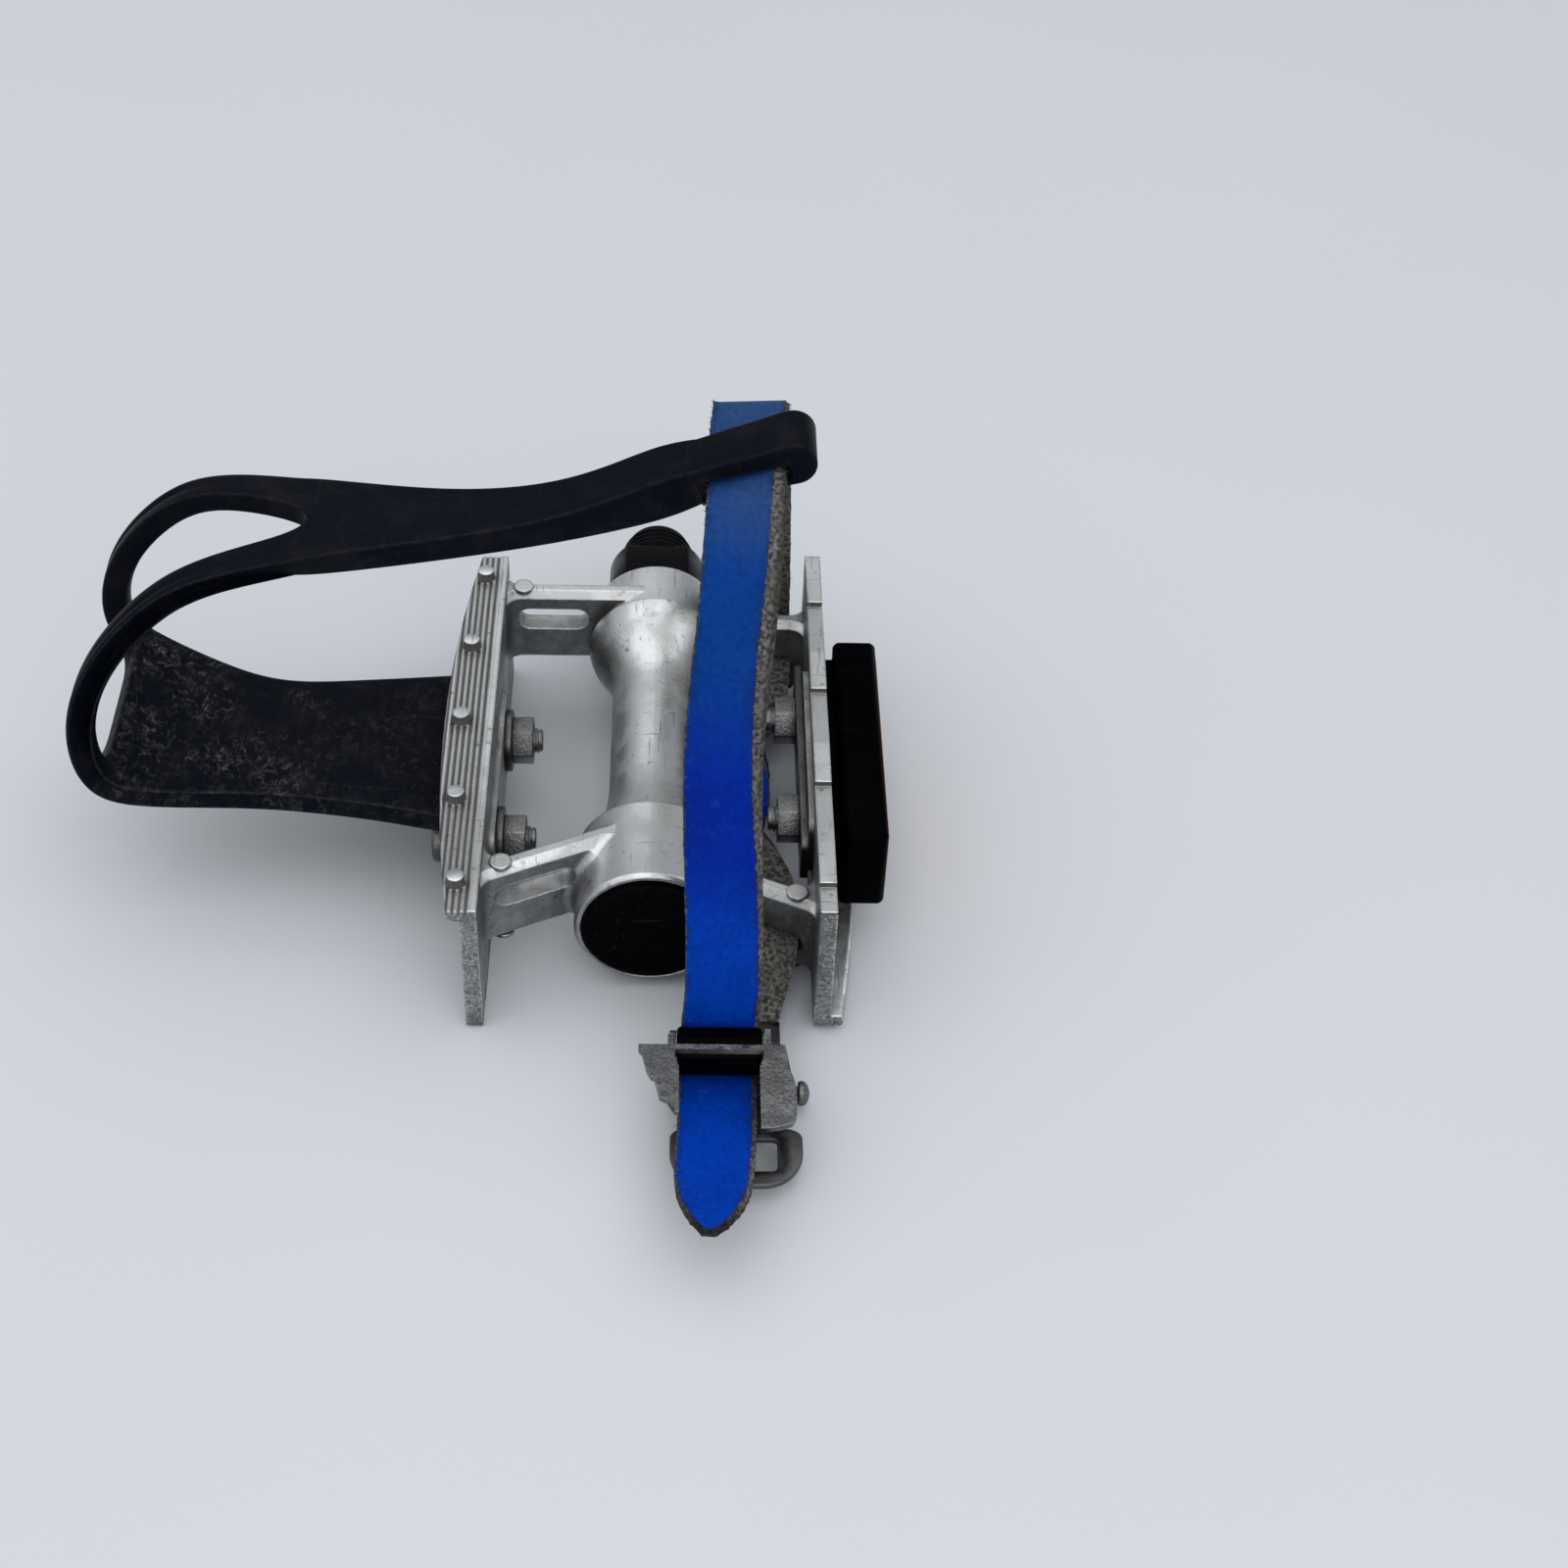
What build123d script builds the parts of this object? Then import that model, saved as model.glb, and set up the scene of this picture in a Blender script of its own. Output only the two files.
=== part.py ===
"""Toe clip pedal: cast cage on a ball-bearing spindle, with toe clip, strap and buckle, and rear reflector.

Millimetres. The origin is on the spindle axis, at the shoulder that seats against the crank.
+Y runs along the spindle towards the crank, +X is the rear of the pedal and +Z is up.
Places written as u are measured along +Y from the middle of the cage.
"""
import os
from math import asin, cos, pi, radians, sin, sqrt

from build123d import *

os.makedirs("parts", exist_ok=True)

# Spindle
thread_r = 7.144
thread_length = 9.0
thread_chamfer = 0.8
wrench_r = 9.7
wrench_flats = 15.0
wrench_length = 10.6
journal_r = 7.2
shaft_r = 4.6
tail_r = 3.6
crank_reach = 61.5

# Cage plates and flanges
cage_length = 97.3
cage_inner_half = 29.2
plate_thick = 3.0
tread_half_height = 15.3
flange_thick = 2.4
flange_end_width = 5.2
flange_mid_width = 9.0
flange_round = 0.6
groove_count = 6
groove_pitch = 1.1
groove_depth = 0.45
groove_margin = 1.9
stud_count = 5
stud_pitch = 20.9
stud_height = 1.2
stud_top_r = 1.55
stud_base_r = 1.85
stud_share = 0.645
tooth_count = 4
tooth_pitch = 25.45
tooth_depth = 1.0
tooth_ramp = 15.1
tooth_first = 14.4
pad_thick = 0.9
pad_length = 44.0
pad_height = 14.0
bolt_r = 2.5
bolt_gap = 0.3
bolt_pitch = 27.0
bolt_drop = 3.0
plate_slot_length = 9.0

# Barrel
collar_r = 13.4
collar_length = 18.7
outer_end = 38.9
waist_r = 8.1
waist_start = -4.0
waist_end = 22.0
bulge_r = 13.2
bulge_at = 37.4
inner_collar_r = 12.0
inner_end = 49.5
waist_bore_r = 6.3

# Arms with strap windows
arm_top = 11.8
arm_bottom = -5.0
arm_thick = 4.2
arm_bevel = 1.3
arm_fillet = 3.0
arm_rim = 0.2
root_fillet = 1.6
rim_chamfer = 0.6
outer_arm_root = -22.5
outer_arm_slope = 0.46
inner_arm_at = 42.0
window_low = 3.1
window_height = 4.9
window_length = 14.0
window_start = 13.2
knob_r = 1.9
knob_height = 0.4
knob_inset = 3.2

# Bearings
ball_r = 1.984
race_gap = 0.05
press_gap = 0.03
running_gap = 0.05
inner_ball_at = 45.9
inner_ball_ring_r = 7.0
inner_cup_r = 10.2
inner_cup_length = 3.8
outer_ball_at = -26.5
outer_ball_ring_r = 6.4
outer_cup_r = 10.8
outer_cup_length = 4.4
cup_lip = 0.7
cup_bore_gap = 2.0
cone_flange_r = 6.6
cone_flange_length = 1.6
cone_nose_wall = 0.4
lock_washer_thick = 1.0
lock_nut_thick = 3.2
lock_nut_flats = 11.0
spindle_tip = 0.4
seal_thick = 1.4
seal_gap = 0.3

# Dust cap
cap_r = 12.2
cap_thick = 1.6
cap_skirt_thick = 1.2
cap_skirt_depth = 3.0

# Toe clip
clip_base_length = 50.0
clip_base_thick = 3.8
clip_base_low = -11.0
clip_thick = 3.2
clip_strip_thick = 4.6
clip_strip_width = 4.9
clip_crotch_at = -58.5
clip_crotch_r = 5.6
clip_slot_length = 8.0
loop_x = 16.8
loop_z = 74.1
loop_tilt = 18.4
loop_length = 21.5
loop_height = 7.9
loop_width = 10.4
loop_corner = 2.8
loop_slot_length = 15.2
loop_slot_height = 3.0
loop_slot_shift = -1.5
loop_slot_drop = 1.2

# Clip fasteners
washer_r = 6.0
washer_thick = 1.3
head_r = 4.5
head_height = 2.8
head_round = 1.0
recess_width = 1.2
recess_length = 5.0
recess_depth = 1.6
nut_flats = 8.0
nut_thick = 4.0
bolt_tip = 1.7
thread_gap = 0.05

# Reflector
reflector_length = 54.2
reflector_height = 18.0
reflector_depth = 8.2
reflector_base_length = 46.0
reflector_base_height = 15.0
reflector_base_depth = 1.9
reflector_chamfer = 0.9
lens_margin = 2.2
lens_thick = 2.4
lens_proud = 0.3
lens_gap = 0.1
reflector_stud_depth = 4.5
backing_thick = 1.4
backing_length = 50.0
backing_height = 10.0

# Strap
strap_width = 13.2
strap_thick = 2.0
strap_tip_width = 6.0
strap_gap = 0.1
twist_start = -23.0
twist_end = 31.0
twist_steps = 14
twist_draw_in = 4.5

# Buckle
buckle_x = 12.2
roller_u = -64.2
roller_z = -3.3
roller_r = 3.6
roller_length = 14.4
roller_pin_r = 1.0
sheet = 1.0
cheek_clear = 0.5
bar_length = 25.2
bar_width = 1.2
bar_u = -67.0
wing_top = 1.5
wing_end = -84.0
wing_taper = 5.2
pivot_u = -66.2
pivot_z = -11.9
pivot_r = 1.2
pivot_head_r = 2.1
pivot_head_height = 1.2
right_wall_x = 24.0
lever_hub_r = 2.0
lever_thick = 1.2
lever_clear = 0.2
nose_back = 1.5
nose_height = 2.6
nose_width = 2.2
tab_x = 15.2
tab_width = 22.4
tab_start = -75.2
tab_end = -88.6
tab_corner = 3.0
tab_tip_corner = 7.0
tab_window_width = 13.8
tab_window_length = 7.2
tab_window_end = -85.6
spring_wire_r = 0.3
spring_turns = 4
spring_pitch = 0.85
spring_gap = 0.15
clamp_x = 16.0
clamp_start = -51.6
clamp_end = -58.0
clamp_low = -13.9
clamp_sheet = 0.9
base_end = -62.0

# Derived places
mid = -crank_reach
cage_half = cage_length / 2
plate_outer = cage_inner_half + plate_thick
flange_top = tread_half_height - stud_height
pad_face = cage_inner_half - pad_thick
bolt_hole_r = bolt_r + bolt_gap
bolt_us = (-bolt_pitch / 2, bolt_pitch / 2)
window_x = window_start + window_length / 2
window_z = window_low + window_height / 2


def flange_reach(u):
    """Distance from the plate's inner face to the flange's curved edge, at a place u along the cage."""
    return flange_end_width + (flange_mid_width - flange_end_width) * (1 - (u / cage_half) ** 2)


def cross_plane(u):
    """Plane across the spindle at a place u along the cage, facing the crank."""
    return Plane(origin=(0, mid + u, 0), x_dir=(1, 0, 0), z_dir=(0, 1, 0))


def rear_plane(x, u=0.0, z=0.0):
    """Plane facing the rear at a distance x from the spindle, with its local x axis along the spindle."""
    return Plane(origin=(x, mid + u, z), x_dir=(0, 1, 0), z_dir=(1, 0, 0))


def on_collar(edge, radius, start, end):
    """True for an edge on a collar of that radius, strictly between two places u, off the plane through its axis."""
    ends = [edge @ share for share in (0, 0.25, 0.5, 0.75, 1)]
    level = all(abs(sqrt(p.X**2 + p.Z**2) - radius) < bolt_gap / 2 for p in ends)
    inside = all(start + arm_rim < p.Y - mid < end - arm_rim for p in ends)
    return level and inside and abs(edge.center().X) > arm_rim


def section_plane(before, here, after, wide):
    """Plane across a path at one of its points, with its local x axis as near as can be to the wide direction."""
    along = Vector(*after) - Vector(*before)
    side = Vector(*wide) - along * (Vector(*wide).dot(along) / along.dot(along))
    return Plane(origin=here, x_dir=side, z_dir=along)


# Bearing races: each ball runs between a 45 degree face of a cup and one of a cone
race_offset = (ball_r + race_gap) / sqrt(2)
inner_race_r = inner_cup_r - cup_lip
inner_mouth = inner_ball_at - race_offset + (inner_race_r - inner_ball_ring_r - race_offset)
inner_cup_start = inner_mouth - inner_cup_length
inner_cup_bore = shaft_r + cup_bore_gap
inner_cone_shift = inner_ball_at + race_offset - (inner_ball_ring_r - race_offset)
outer_race_r = outer_cup_r - cup_lip
outer_mouth = outer_ball_at + race_offset - (outer_race_r - outer_ball_ring_r - race_offset)
outer_cup_end = outer_mouth + outer_cup_length
outer_cup_bore = shaft_r + cup_bore_gap
outer_cone_sum = outer_ball_at - race_offset + outer_ball_ring_r - race_offset
tail_bore = tail_r + thread_gap
cone_nose_r = tail_bore + cone_nose_wall
cone_nose = outer_cone_sum - cone_nose_r
cone_back = outer_cone_sum - cone_flange_r - cone_flange_length
washer_back = cone_back - lock_washer_thick
nut_back = washer_back - lock_nut_thick
spindle_end = nut_back - spindle_tip
tail_shoulder = outer_ball_at + 2 * ball_r
cap_seat = -outer_end + cap_thick
ball_half_pitch = ball_r + running_gap
inner_ball_count = int(pi / asin(ball_half_pitch / inner_ball_ring_r))
outer_ball_count = int(pi / asin(ball_half_pitch / outer_ball_ring_r))

# One side of the cage: plate, flange and two arms. The other side is the same, turned half round the spindle
outer_arm_tip = outer_arm_root - outer_arm_slope * plate_outer
arm_half_y = arm_thick / 2 * sqrt(1 + outer_arm_slope**2)
knob_x = -(cage_inner_half - knob_inset)
knob_u = outer_arm_root + outer_arm_slope * knob_x
with BuildPart() as cage_side:
    with BuildSketch(Plane.XY.offset(arm_bottom)) as arm_plan:
        with Locations((-(cage_inner_half + plate_thick / 2), mid)):
            Rectangle(plate_thick, cage_length)
        Polygon(
            (0, mid + outer_arm_root + arm_half_y),
            (-plate_outer, mid + outer_arm_tip + arm_half_y),
            (-plate_outer, mid + outer_arm_tip - arm_half_y),
            (0, mid + outer_arm_root - arm_half_y),
            align=None,
        )
        with Locations((-plate_outer / 2, mid + inner_arm_at)):
            Rectangle(plate_outer, arm_thick)
        roots = arm_plan.vertices().filter_by(lambda v: abs(v.X + cage_inner_half) < bolt_gap)
        fillet(roots.filter_by(lambda v: abs(v.Y - mid) < cage_half - plate_thick / 2), arm_fillet)
    extrude(amount=arm_top - arm_bottom)
    rims = cage_side.edges().filter_by(lambda e: -cage_inner_half - bolt_gap < e.center().X < -bolt_gap)
    chamfer(rims.filter_by(lambda e: e.bounding_box().size.Z < bolt_gap), arm_bevel)
    with Locations((knob_x, mid + knob_u, arm_top), (knob_x, mid + inner_arm_at, arm_top)):
        Cylinder(knob_r, 2 * knob_height)
    with Locations((knob_x, mid + knob_u, arm_bottom)):
        Cylinder(knob_r, 2 * knob_height)
    with BuildSketch(rear_plane(-plate_outer)):
        with BuildLine():
            edge = [(-cage_half, flange_top), (cage_half, flange_top), (cage_half, -tread_half_height)]
            for k in range(tooth_count):
                notch = cage_half - tooth_first - k * tooth_pitch
                ramp_end = max(notch - tooth_ramp, -cage_half)
                ramp_rise = tooth_depth * (notch - ramp_end) / tooth_ramp
                edge.append((notch, -tread_half_height))
                edge.append((notch, -tread_half_height + tooth_depth))
                edge.append((ramp_end, -tread_half_height + tooth_depth - ramp_rise))
            Polyline(*edge, close=True)
        make_face()
    extrude(amount=plate_thick)
    with BuildSketch(rear_plane(-cage_inner_half, 0, -bolt_drop)):
        RectangleRounded(pad_length, pad_height, pad_height / 4)
    extrude(amount=pad_thick)
    with BuildSketch(rear_plane(-plate_outer, 0, -bolt_drop)):
        with Locations(*[(u, 0) for u in bolt_us]):
            SlotOverall(plate_slot_length, 2 * bolt_hole_r)
    extrude(amount=plate_thick + pad_thick, mode=Mode.SUBTRACT)
    with BuildSketch(Plane.XY.offset(flange_top - flange_thick)):
        with BuildLine():
            end_x = -cage_inner_half - flange_end_width
            Polyline((end_x, mid + cage_half), (-cage_inner_half, mid + cage_half),
                     (-cage_inner_half, mid - cage_half), (end_x, mid - cage_half))
            ThreePointArc((end_x, mid - cage_half), (-cage_inner_half - flange_mid_width, mid),
                          (end_x, mid + cage_half))
        make_face()
    extrude(amount=flange_thick)
    arcs = cage_side.edges().filter_by(GeomType.CIRCLE)
    fillet(arcs.filter_by(lambda e: e.radius > cage_length), flange_round)
    with BuildSketch(Plane.XZ.offset(-mid)):
        for k in range(groove_count):
            with Locations((-cage_inner_half - groove_margin - k * groove_pitch, flange_top)):
                Rectangle(groove_depth * sqrt(2), groove_depth * sqrt(2), rotation=45)
    extrude(amount=cage_half, both=True, mode=Mode.SUBTRACT)
    for k in range(stud_count):
        stud_u = (k - (stud_count - 1) / 2) * stud_pitch
        stud_x = -cage_inner_half - stud_share * flange_reach(stud_u)
        with Locations((stud_x, mid + stud_u, flange_top - groove_depth)):
            Cone(stud_base_r, stud_top_r, stud_height + groove_depth, align=(Align.CENTER, Align.CENTER, Align.MIN))

with BuildPart() as pedal_body:
    with BuildSketch(Plane.YZ):
        with BuildLine():
            crease = mid - outer_end + collar_length
            step = (collar_r - waist_r) / 2
            Polyline((mid - outer_end, 0), (mid - outer_end, collar_r - rim_chamfer),
                     (mid - outer_end + rim_chamfer, collar_r), (crease, collar_r),
                     (crease + step / 2, collar_r - step))
            Spline((crease + step / 2, collar_r - step), (mid + waist_start, waist_r), tangents=((1, -0.3), (1, 0)))
            Line((mid + waist_start, waist_r), (mid + waist_end, waist_r))
            Spline((mid + waist_end, waist_r), (mid + bulge_at, bulge_r), tangents=((1, 0), (1, 0.12)))
            Polyline((mid + bulge_at, bulge_r), (mid + bulge_at + bulge_r - inner_collar_r, inner_collar_r),
                     (mid + inner_end - rim_chamfer, inner_collar_r),
                     (mid + inner_end, inner_collar_r - rim_chamfer), (mid + inner_end, 0), (mid - outer_end, 0))
        make_face()
    revolve(axis=Axis.Y)
    add(cage_side.part)
    add(cage_side.part.rotate(Axis.Y, 180))
    outer_roots = pedal_body.edges().filter_by(lambda e: on_collar(e, collar_r, -outer_end, crease - mid))
    fillet(outer_roots, root_fillet)
    with BuildSketch(Plane.XZ.offset(-mid)):
        with Locations((-window_x, window_z), (window_x, -window_z)):
            SlotOverall(window_length, window_height)
    extrude(amount=cage_half, both=True, mode=Mode.SUBTRACT)
    with BuildSketch(Plane.YZ):
        with BuildLine():
            Polyline(
                (mid - outer_end, 0), (mid - outer_end, cap_r + running_gap), (mid + cap_seat, cap_r + running_gap),
                (mid + cap_seat, outer_cup_r + press_gap), (mid + outer_cup_end, outer_cup_r + press_gap),
                (mid + outer_cup_end, waist_bore_r), (mid + inner_cup_start, waist_bore_r),
                (mid + inner_cup_start, inner_cup_r + press_gap), (mid + inner_end, inner_cup_r + press_gap),
                (mid + inner_end, 0), close=True)
        make_face()
    revolve(axis=Axis.Y, mode=Mode.SUBTRACT)
pedal_body.part.label = "pedal_body"
export_step(pedal_body.part, "parts/pedal_body.step")

# Spindle with its inner bearing cone, wrench flats and crank thread
with BuildPart() as spindle:
    with BuildSketch(Plane.YZ):
        with BuildLine():
            Polyline(
                (mid + spindle_end, 0), (mid + spindle_end, tail_r), (mid + tail_shoulder, tail_r),
                (mid + tail_shoulder, shaft_r), (mid + inner_cone_shift + shaft_r, shaft_r),
                (mid + inner_cone_shift + journal_r, journal_r), (-wrench_length, journal_r),
                (-wrench_length, wrench_r), (0, wrench_r), (0, thread_r), (thread_length, thread_r),
                (thread_length, 0), close=True)
        make_face()
    revolve(axis=Axis.Y)
    with BuildSketch(Plane.XZ.offset(wrench_length)):
        with Locations((0, wrench_flats / 2 + wrench_r / 2), (0, -wrench_flats / 2 - wrench_r / 2)):
            Rectangle(2 * wrench_r, wrench_r)
    extrude(amount=-wrench_length, mode=Mode.SUBTRACT)
    chamfer(spindle.faces().sort_by(Axis.Y)[-1].edges(), thread_chamfer)
spindle.part.label = "spindle"
export_step(spindle.part, "parts/spindle.step")

# Bearings: pressed cups, rings of loose balls, adjusting cone with lock washer and lock nut
with BuildPart() as inner_bearing_cup:
    with BuildSketch(Plane.YZ):
        Polygon((mid + inner_cup_start, inner_cup_bore), (mid + inner_cup_start, inner_cup_r),
                (mid + inner_mouth, inner_cup_r), (mid + inner_mouth, inner_race_r),
                (mid + inner_mouth - inner_race_r + inner_cup_bore, inner_cup_bore), align=None)
    revolve(axis=Axis.Y)
inner_bearing_cup.part.label = "inner_bearing_cup"
export_step(inner_bearing_cup.part, "parts/inner_bearing_cup.step")

with BuildPart() as inner_bearing_balls:
    with Locations(cross_plane(inner_ball_at)):
        with PolarLocations(inner_ball_ring_r, inner_ball_count):
            Sphere(ball_r)
inner_bearing_balls.part.label = "inner_bearing_balls"
export_step(inner_bearing_balls.part, "parts/inner_bearing_balls.step")

with BuildPart() as outer_bearing_cup:
    with BuildSketch(Plane.YZ):
        Polygon((mid + outer_cup_end, outer_cup_bore), (mid + outer_cup_end, outer_cup_r),
                (mid + outer_mouth, outer_cup_r), (mid + outer_mouth, outer_race_r),
                (mid + outer_mouth + outer_race_r - outer_cup_bore, outer_cup_bore), align=None)
    revolve(axis=Axis.Y)
outer_bearing_cup.part.label = "outer_bearing_cup"
export_step(outer_bearing_cup.part, "parts/outer_bearing_cup.step")

with BuildPart() as outer_bearing_balls:
    with Locations(cross_plane(outer_ball_at)):
        with PolarLocations(outer_ball_ring_r, outer_ball_count):
            Sphere(ball_r)
outer_bearing_balls.part.label = "outer_bearing_balls"
export_step(outer_bearing_balls.part, "parts/outer_bearing_balls.step")

with BuildPart() as outer_cone:
    with BuildSketch(Plane.YZ):
        Polygon((mid + cone_back, tail_bore), (mid + cone_back, cone_flange_r),
                (mid + cone_back + cone_flange_length, cone_flange_r), (mid + cone_nose, cone_nose_r),
                (mid + cone_nose, tail_bore), align=None)
    revolve(axis=Axis.Y)
outer_cone.part.label = "outer_cone"
export_step(outer_cone.part, "parts/outer_cone.step")

with BuildPart() as lock_washer:
    with BuildSketch(cross_plane(washer_back)):
        Circle(cone_flange_r)
        Circle(tail_bore, mode=Mode.SUBTRACT)
    extrude(amount=lock_washer_thick)
lock_washer.part.label = "lock_washer"
export_step(lock_washer.part, "parts/lock_washer.step")

with BuildPart() as lock_nut:
    with BuildSketch(cross_plane(nut_back)):
        RegularPolygon(lock_nut_flats / 2, 6, major_radius=False)
        Circle(tail_bore, mode=Mode.SUBTRACT)
    extrude(amount=lock_nut_thick)
lock_nut.part.label = "lock_nut"
export_step(lock_nut.part, "parts/lock_nut.step")

# Rubber ring that closes the crank end of the barrel round the spindle's journal
with BuildPart() as spindle_seal:
    with BuildSketch(cross_plane(inner_end - seal_thick)):
        Circle(inner_cup_r)
        Circle(journal_r + seal_gap, mode=Mode.SUBTRACT)
    extrude(amount=seal_thick)
spindle_seal.part.label = "spindle_seal"
export_step(spindle_seal.part, "parts/spindle_seal.step")

# Dust cap: a disc sunk in the end of the collar, with a skirt that grips the bore
with BuildPart() as dust_cap:
    with BuildSketch(cross_plane(-outer_end)):
        Circle(cap_r)
    extrude(amount=cap_thick)
    with BuildSketch(cross_plane(cap_seat)):
        Circle(outer_cup_r)
        Circle(outer_cup_r - cap_skirt_thick, mode=Mode.SUBTRACT)
    extrude(amount=cap_skirt_depth)
dust_cap.part.label = "dust_cap"
export_step(dust_cap.part, "parts/dust_cap.step")

# Toe clip: tongue with its base plate, two strips round the toe, one strip up to the strap loop
clip_face = -plate_outer - clip_base_thick
tongue = [
    (-33.0, 6.6, 21.0),
    (-38.8, 6.65, 20.15),
    (-48.1, 7.3, 18.5),
    (-58.0, 7.6, 17.2),
    (-67.3, 7.8, 16.3),
    (-75.5, 8.8, 17.05),
    (-85.5, 11.4, 20.0),
    (-94.0, 14.4, 22.6),
    (-98.2, 17.0, 22.2),
]
toe_strip = [
    (-93.5, 14.2, 19.7),
    (-97.6, 17.2, 19.5),
    (-99.3, 23.0, 18.6),
    (-98.6, 31.0, 17.6),
    (-95.0, 39.5, 16.5),
    (-88.6, 47.8, 15.3),
    (-80.5, 54.6, 13.7),
    (-70.5, 56.9, 11.5),
    (-61.0, 57.5, 9.4),
]
top_strip = [
    (-66.0, 57.3, 12.6),
    (-58.1, 57.7, 11.3),
    (-44.6, 58.3, 8.5),
    (-31.4, 59.2, 6.4),
    (-17.8, 61.5, 5.2),
    (-7.0, 65.4, 5.0),
    (2.0, 69.6, 5.1),
    (8.0, 71.6, 5.2),
]
with BuildPart() as toe_clip:
    with BuildSketch(rear_plane(clip_face)):
        with Locations((0, (clip_base_low + tongue[0][1]) / 2)):
            RectangleRounded(clip_base_length, tongue[0][1] - clip_base_low, clip_thick)
    extrude(amount=clip_base_thick)
    with BuildSketch(rear_plane(clip_face, 0, -bolt_drop)):
        with Locations(*[(u, 0) for u in bolt_us]):
            SlotOverall(clip_slot_length, 2 * bolt_hole_r)
    extrude(amount=clip_base_thick, mode=Mode.SUBTRACT)
    for k, (x, z, half) in enumerate(tongue):
        before = tongue[max(k - 1, 0)]
        after = tongue[min(k + 1, len(tongue) - 1)]
        with BuildSketch(section_plane((before[0], mid, before[1]), (x, mid, z), (after[0], mid, after[1]), (0, 1, 0))):
            Rectangle(2 * half, clip_thick)
    loft()
    for side in (-1, 1):
        for k, (x, z, out) in enumerate(toe_strip):
            before = toe_strip[max(k - 1, 0)]
            after = toe_strip[min(k + 1, len(toe_strip) - 1)]
            with BuildSketch(section_plane((before[0], 0, before[1]), (x, mid + side * out, z),
                                           (after[0], 0, after[1]), (0, 1, 0))):
                Rectangle(clip_strip_width, clip_strip_thick)
        loft()
    for k, (x, z, half) in enumerate(top_strip):
        before = top_strip[max(k - 1, 0)]
        after = top_strip[min(k + 1, len(top_strip) - 1)]
        with BuildSketch(section_plane((before[0], mid, before[1]), (x, mid, z), (after[0], mid, after[1]), (0, 1, 0))):
            Rectangle(2 * half, clip_strip_thick)
    loft()
    with BuildSketch(Plane.XY.offset(top_strip[0][1] - clip_strip_thick)):
        with Locations((clip_crotch_at - clip_crotch_r, mid)):
            Circle(clip_crotch_r)
        with Locations((clip_crotch_at - 2 * clip_crotch_r, mid)):
            Rectangle(2 * clip_crotch_r, 2 * clip_crotch_r)
    extrude(amount=2 * clip_strip_thick, mode=Mode.SUBTRACT)
    with BuildSketch(Plane.XZ.offset(-mid)):
        with Locations(Location((loop_x, loop_z, 0), (0, 0, loop_tilt))):
            RectangleRounded(loop_length, loop_height, loop_corner)
    extrude(amount=loop_width / 2, both=True)
    with BuildSketch(Plane.XZ.offset(-mid)):
        with Locations(Location((loop_x, loop_z, 0), (0, 0, loop_tilt))):
            with Locations((loop_slot_shift, -loop_slot_drop)):
                RectangleRounded(loop_slot_length, loop_slot_height, loop_slot_height / 4)
    extrude(amount=loop_width / 2, both=True, mode=Mode.SUBTRACT)
toe_clip.part.label = "toe_clip"
export_step(toe_clip.part, "parts/toe_clip.step")

# Clip fasteners: two pan-head bolts with washers on both sides and nuts inside the cage
clip_washer_face = clip_face - washer_thick
clip_nut_face = -pad_face + washer_thick
with BuildPart() as clip_bolts:
    for u in bolt_us:
        with Locations(rear_plane(clip_washer_face - head_height, u, -bolt_drop)):
            Cylinder(head_r, head_height, align=(Align.CENTER, Align.CENTER, Align.MIN))
    fillet(clip_bolts.faces().sort_by(Axis.X)[0].edges() + clip_bolts.faces().sort_by(Axis.X)[1].edges(), head_round)
    for u in bolt_us:
        with Locations(rear_plane(clip_washer_face, u, -bolt_drop)):
            shank = clip_nut_face + nut_thick + bolt_tip - clip_washer_face
            Cylinder(bolt_r, shank, align=(Align.CENTER, Align.CENTER, Align.MIN))
        with BuildSketch(rear_plane(clip_washer_face - head_height, u, -bolt_drop)):
            Rectangle(recess_width, recess_length)
            Rectangle(recess_length, recess_width)
        extrude(amount=recess_depth, mode=Mode.SUBTRACT)
clip_bolts.part.label = "clip_bolts"
export_step(clip_bolts.part, "parts/clip_bolts.step")

with BuildPart() as clip_outer_washers:
    with BuildSketch(rear_plane(clip_washer_face, 0, -bolt_drop)):
        with Locations(*[(u, 0) for u in bolt_us]):
            Circle(washer_r)
            Circle(bolt_hole_r, mode=Mode.SUBTRACT)
    extrude(amount=washer_thick)
clip_outer_washers.part.label = "clip_outer_washers"
export_step(clip_outer_washers.part, "parts/clip_outer_washers.step")

with BuildPart() as clip_inner_washers:
    with BuildSketch(rear_plane(-pad_face, 0, -bolt_drop)):
        with Locations(*[(u, 0) for u in bolt_us]):
            Circle(washer_r)
            Circle(bolt_hole_r, mode=Mode.SUBTRACT)
    extrude(amount=washer_thick)
clip_inner_washers.part.label = "clip_inner_washers"
export_step(clip_inner_washers.part, "parts/clip_inner_washers.step")

with BuildPart() as clip_nuts:
    with BuildSketch(rear_plane(clip_nut_face, 0, -bolt_drop)):
        with Locations(*[(u, 0) for u in bolt_us]):
            RegularPolygon(nut_flats / 2, 6, major_radius=False)
            Circle(bolt_r + thread_gap, mode=Mode.SUBTRACT)
    extrude(amount=nut_thick)
clip_nuts.part.label = "clip_nuts"
export_step(clip_nuts.part, "parts/clip_nuts.step")

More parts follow.
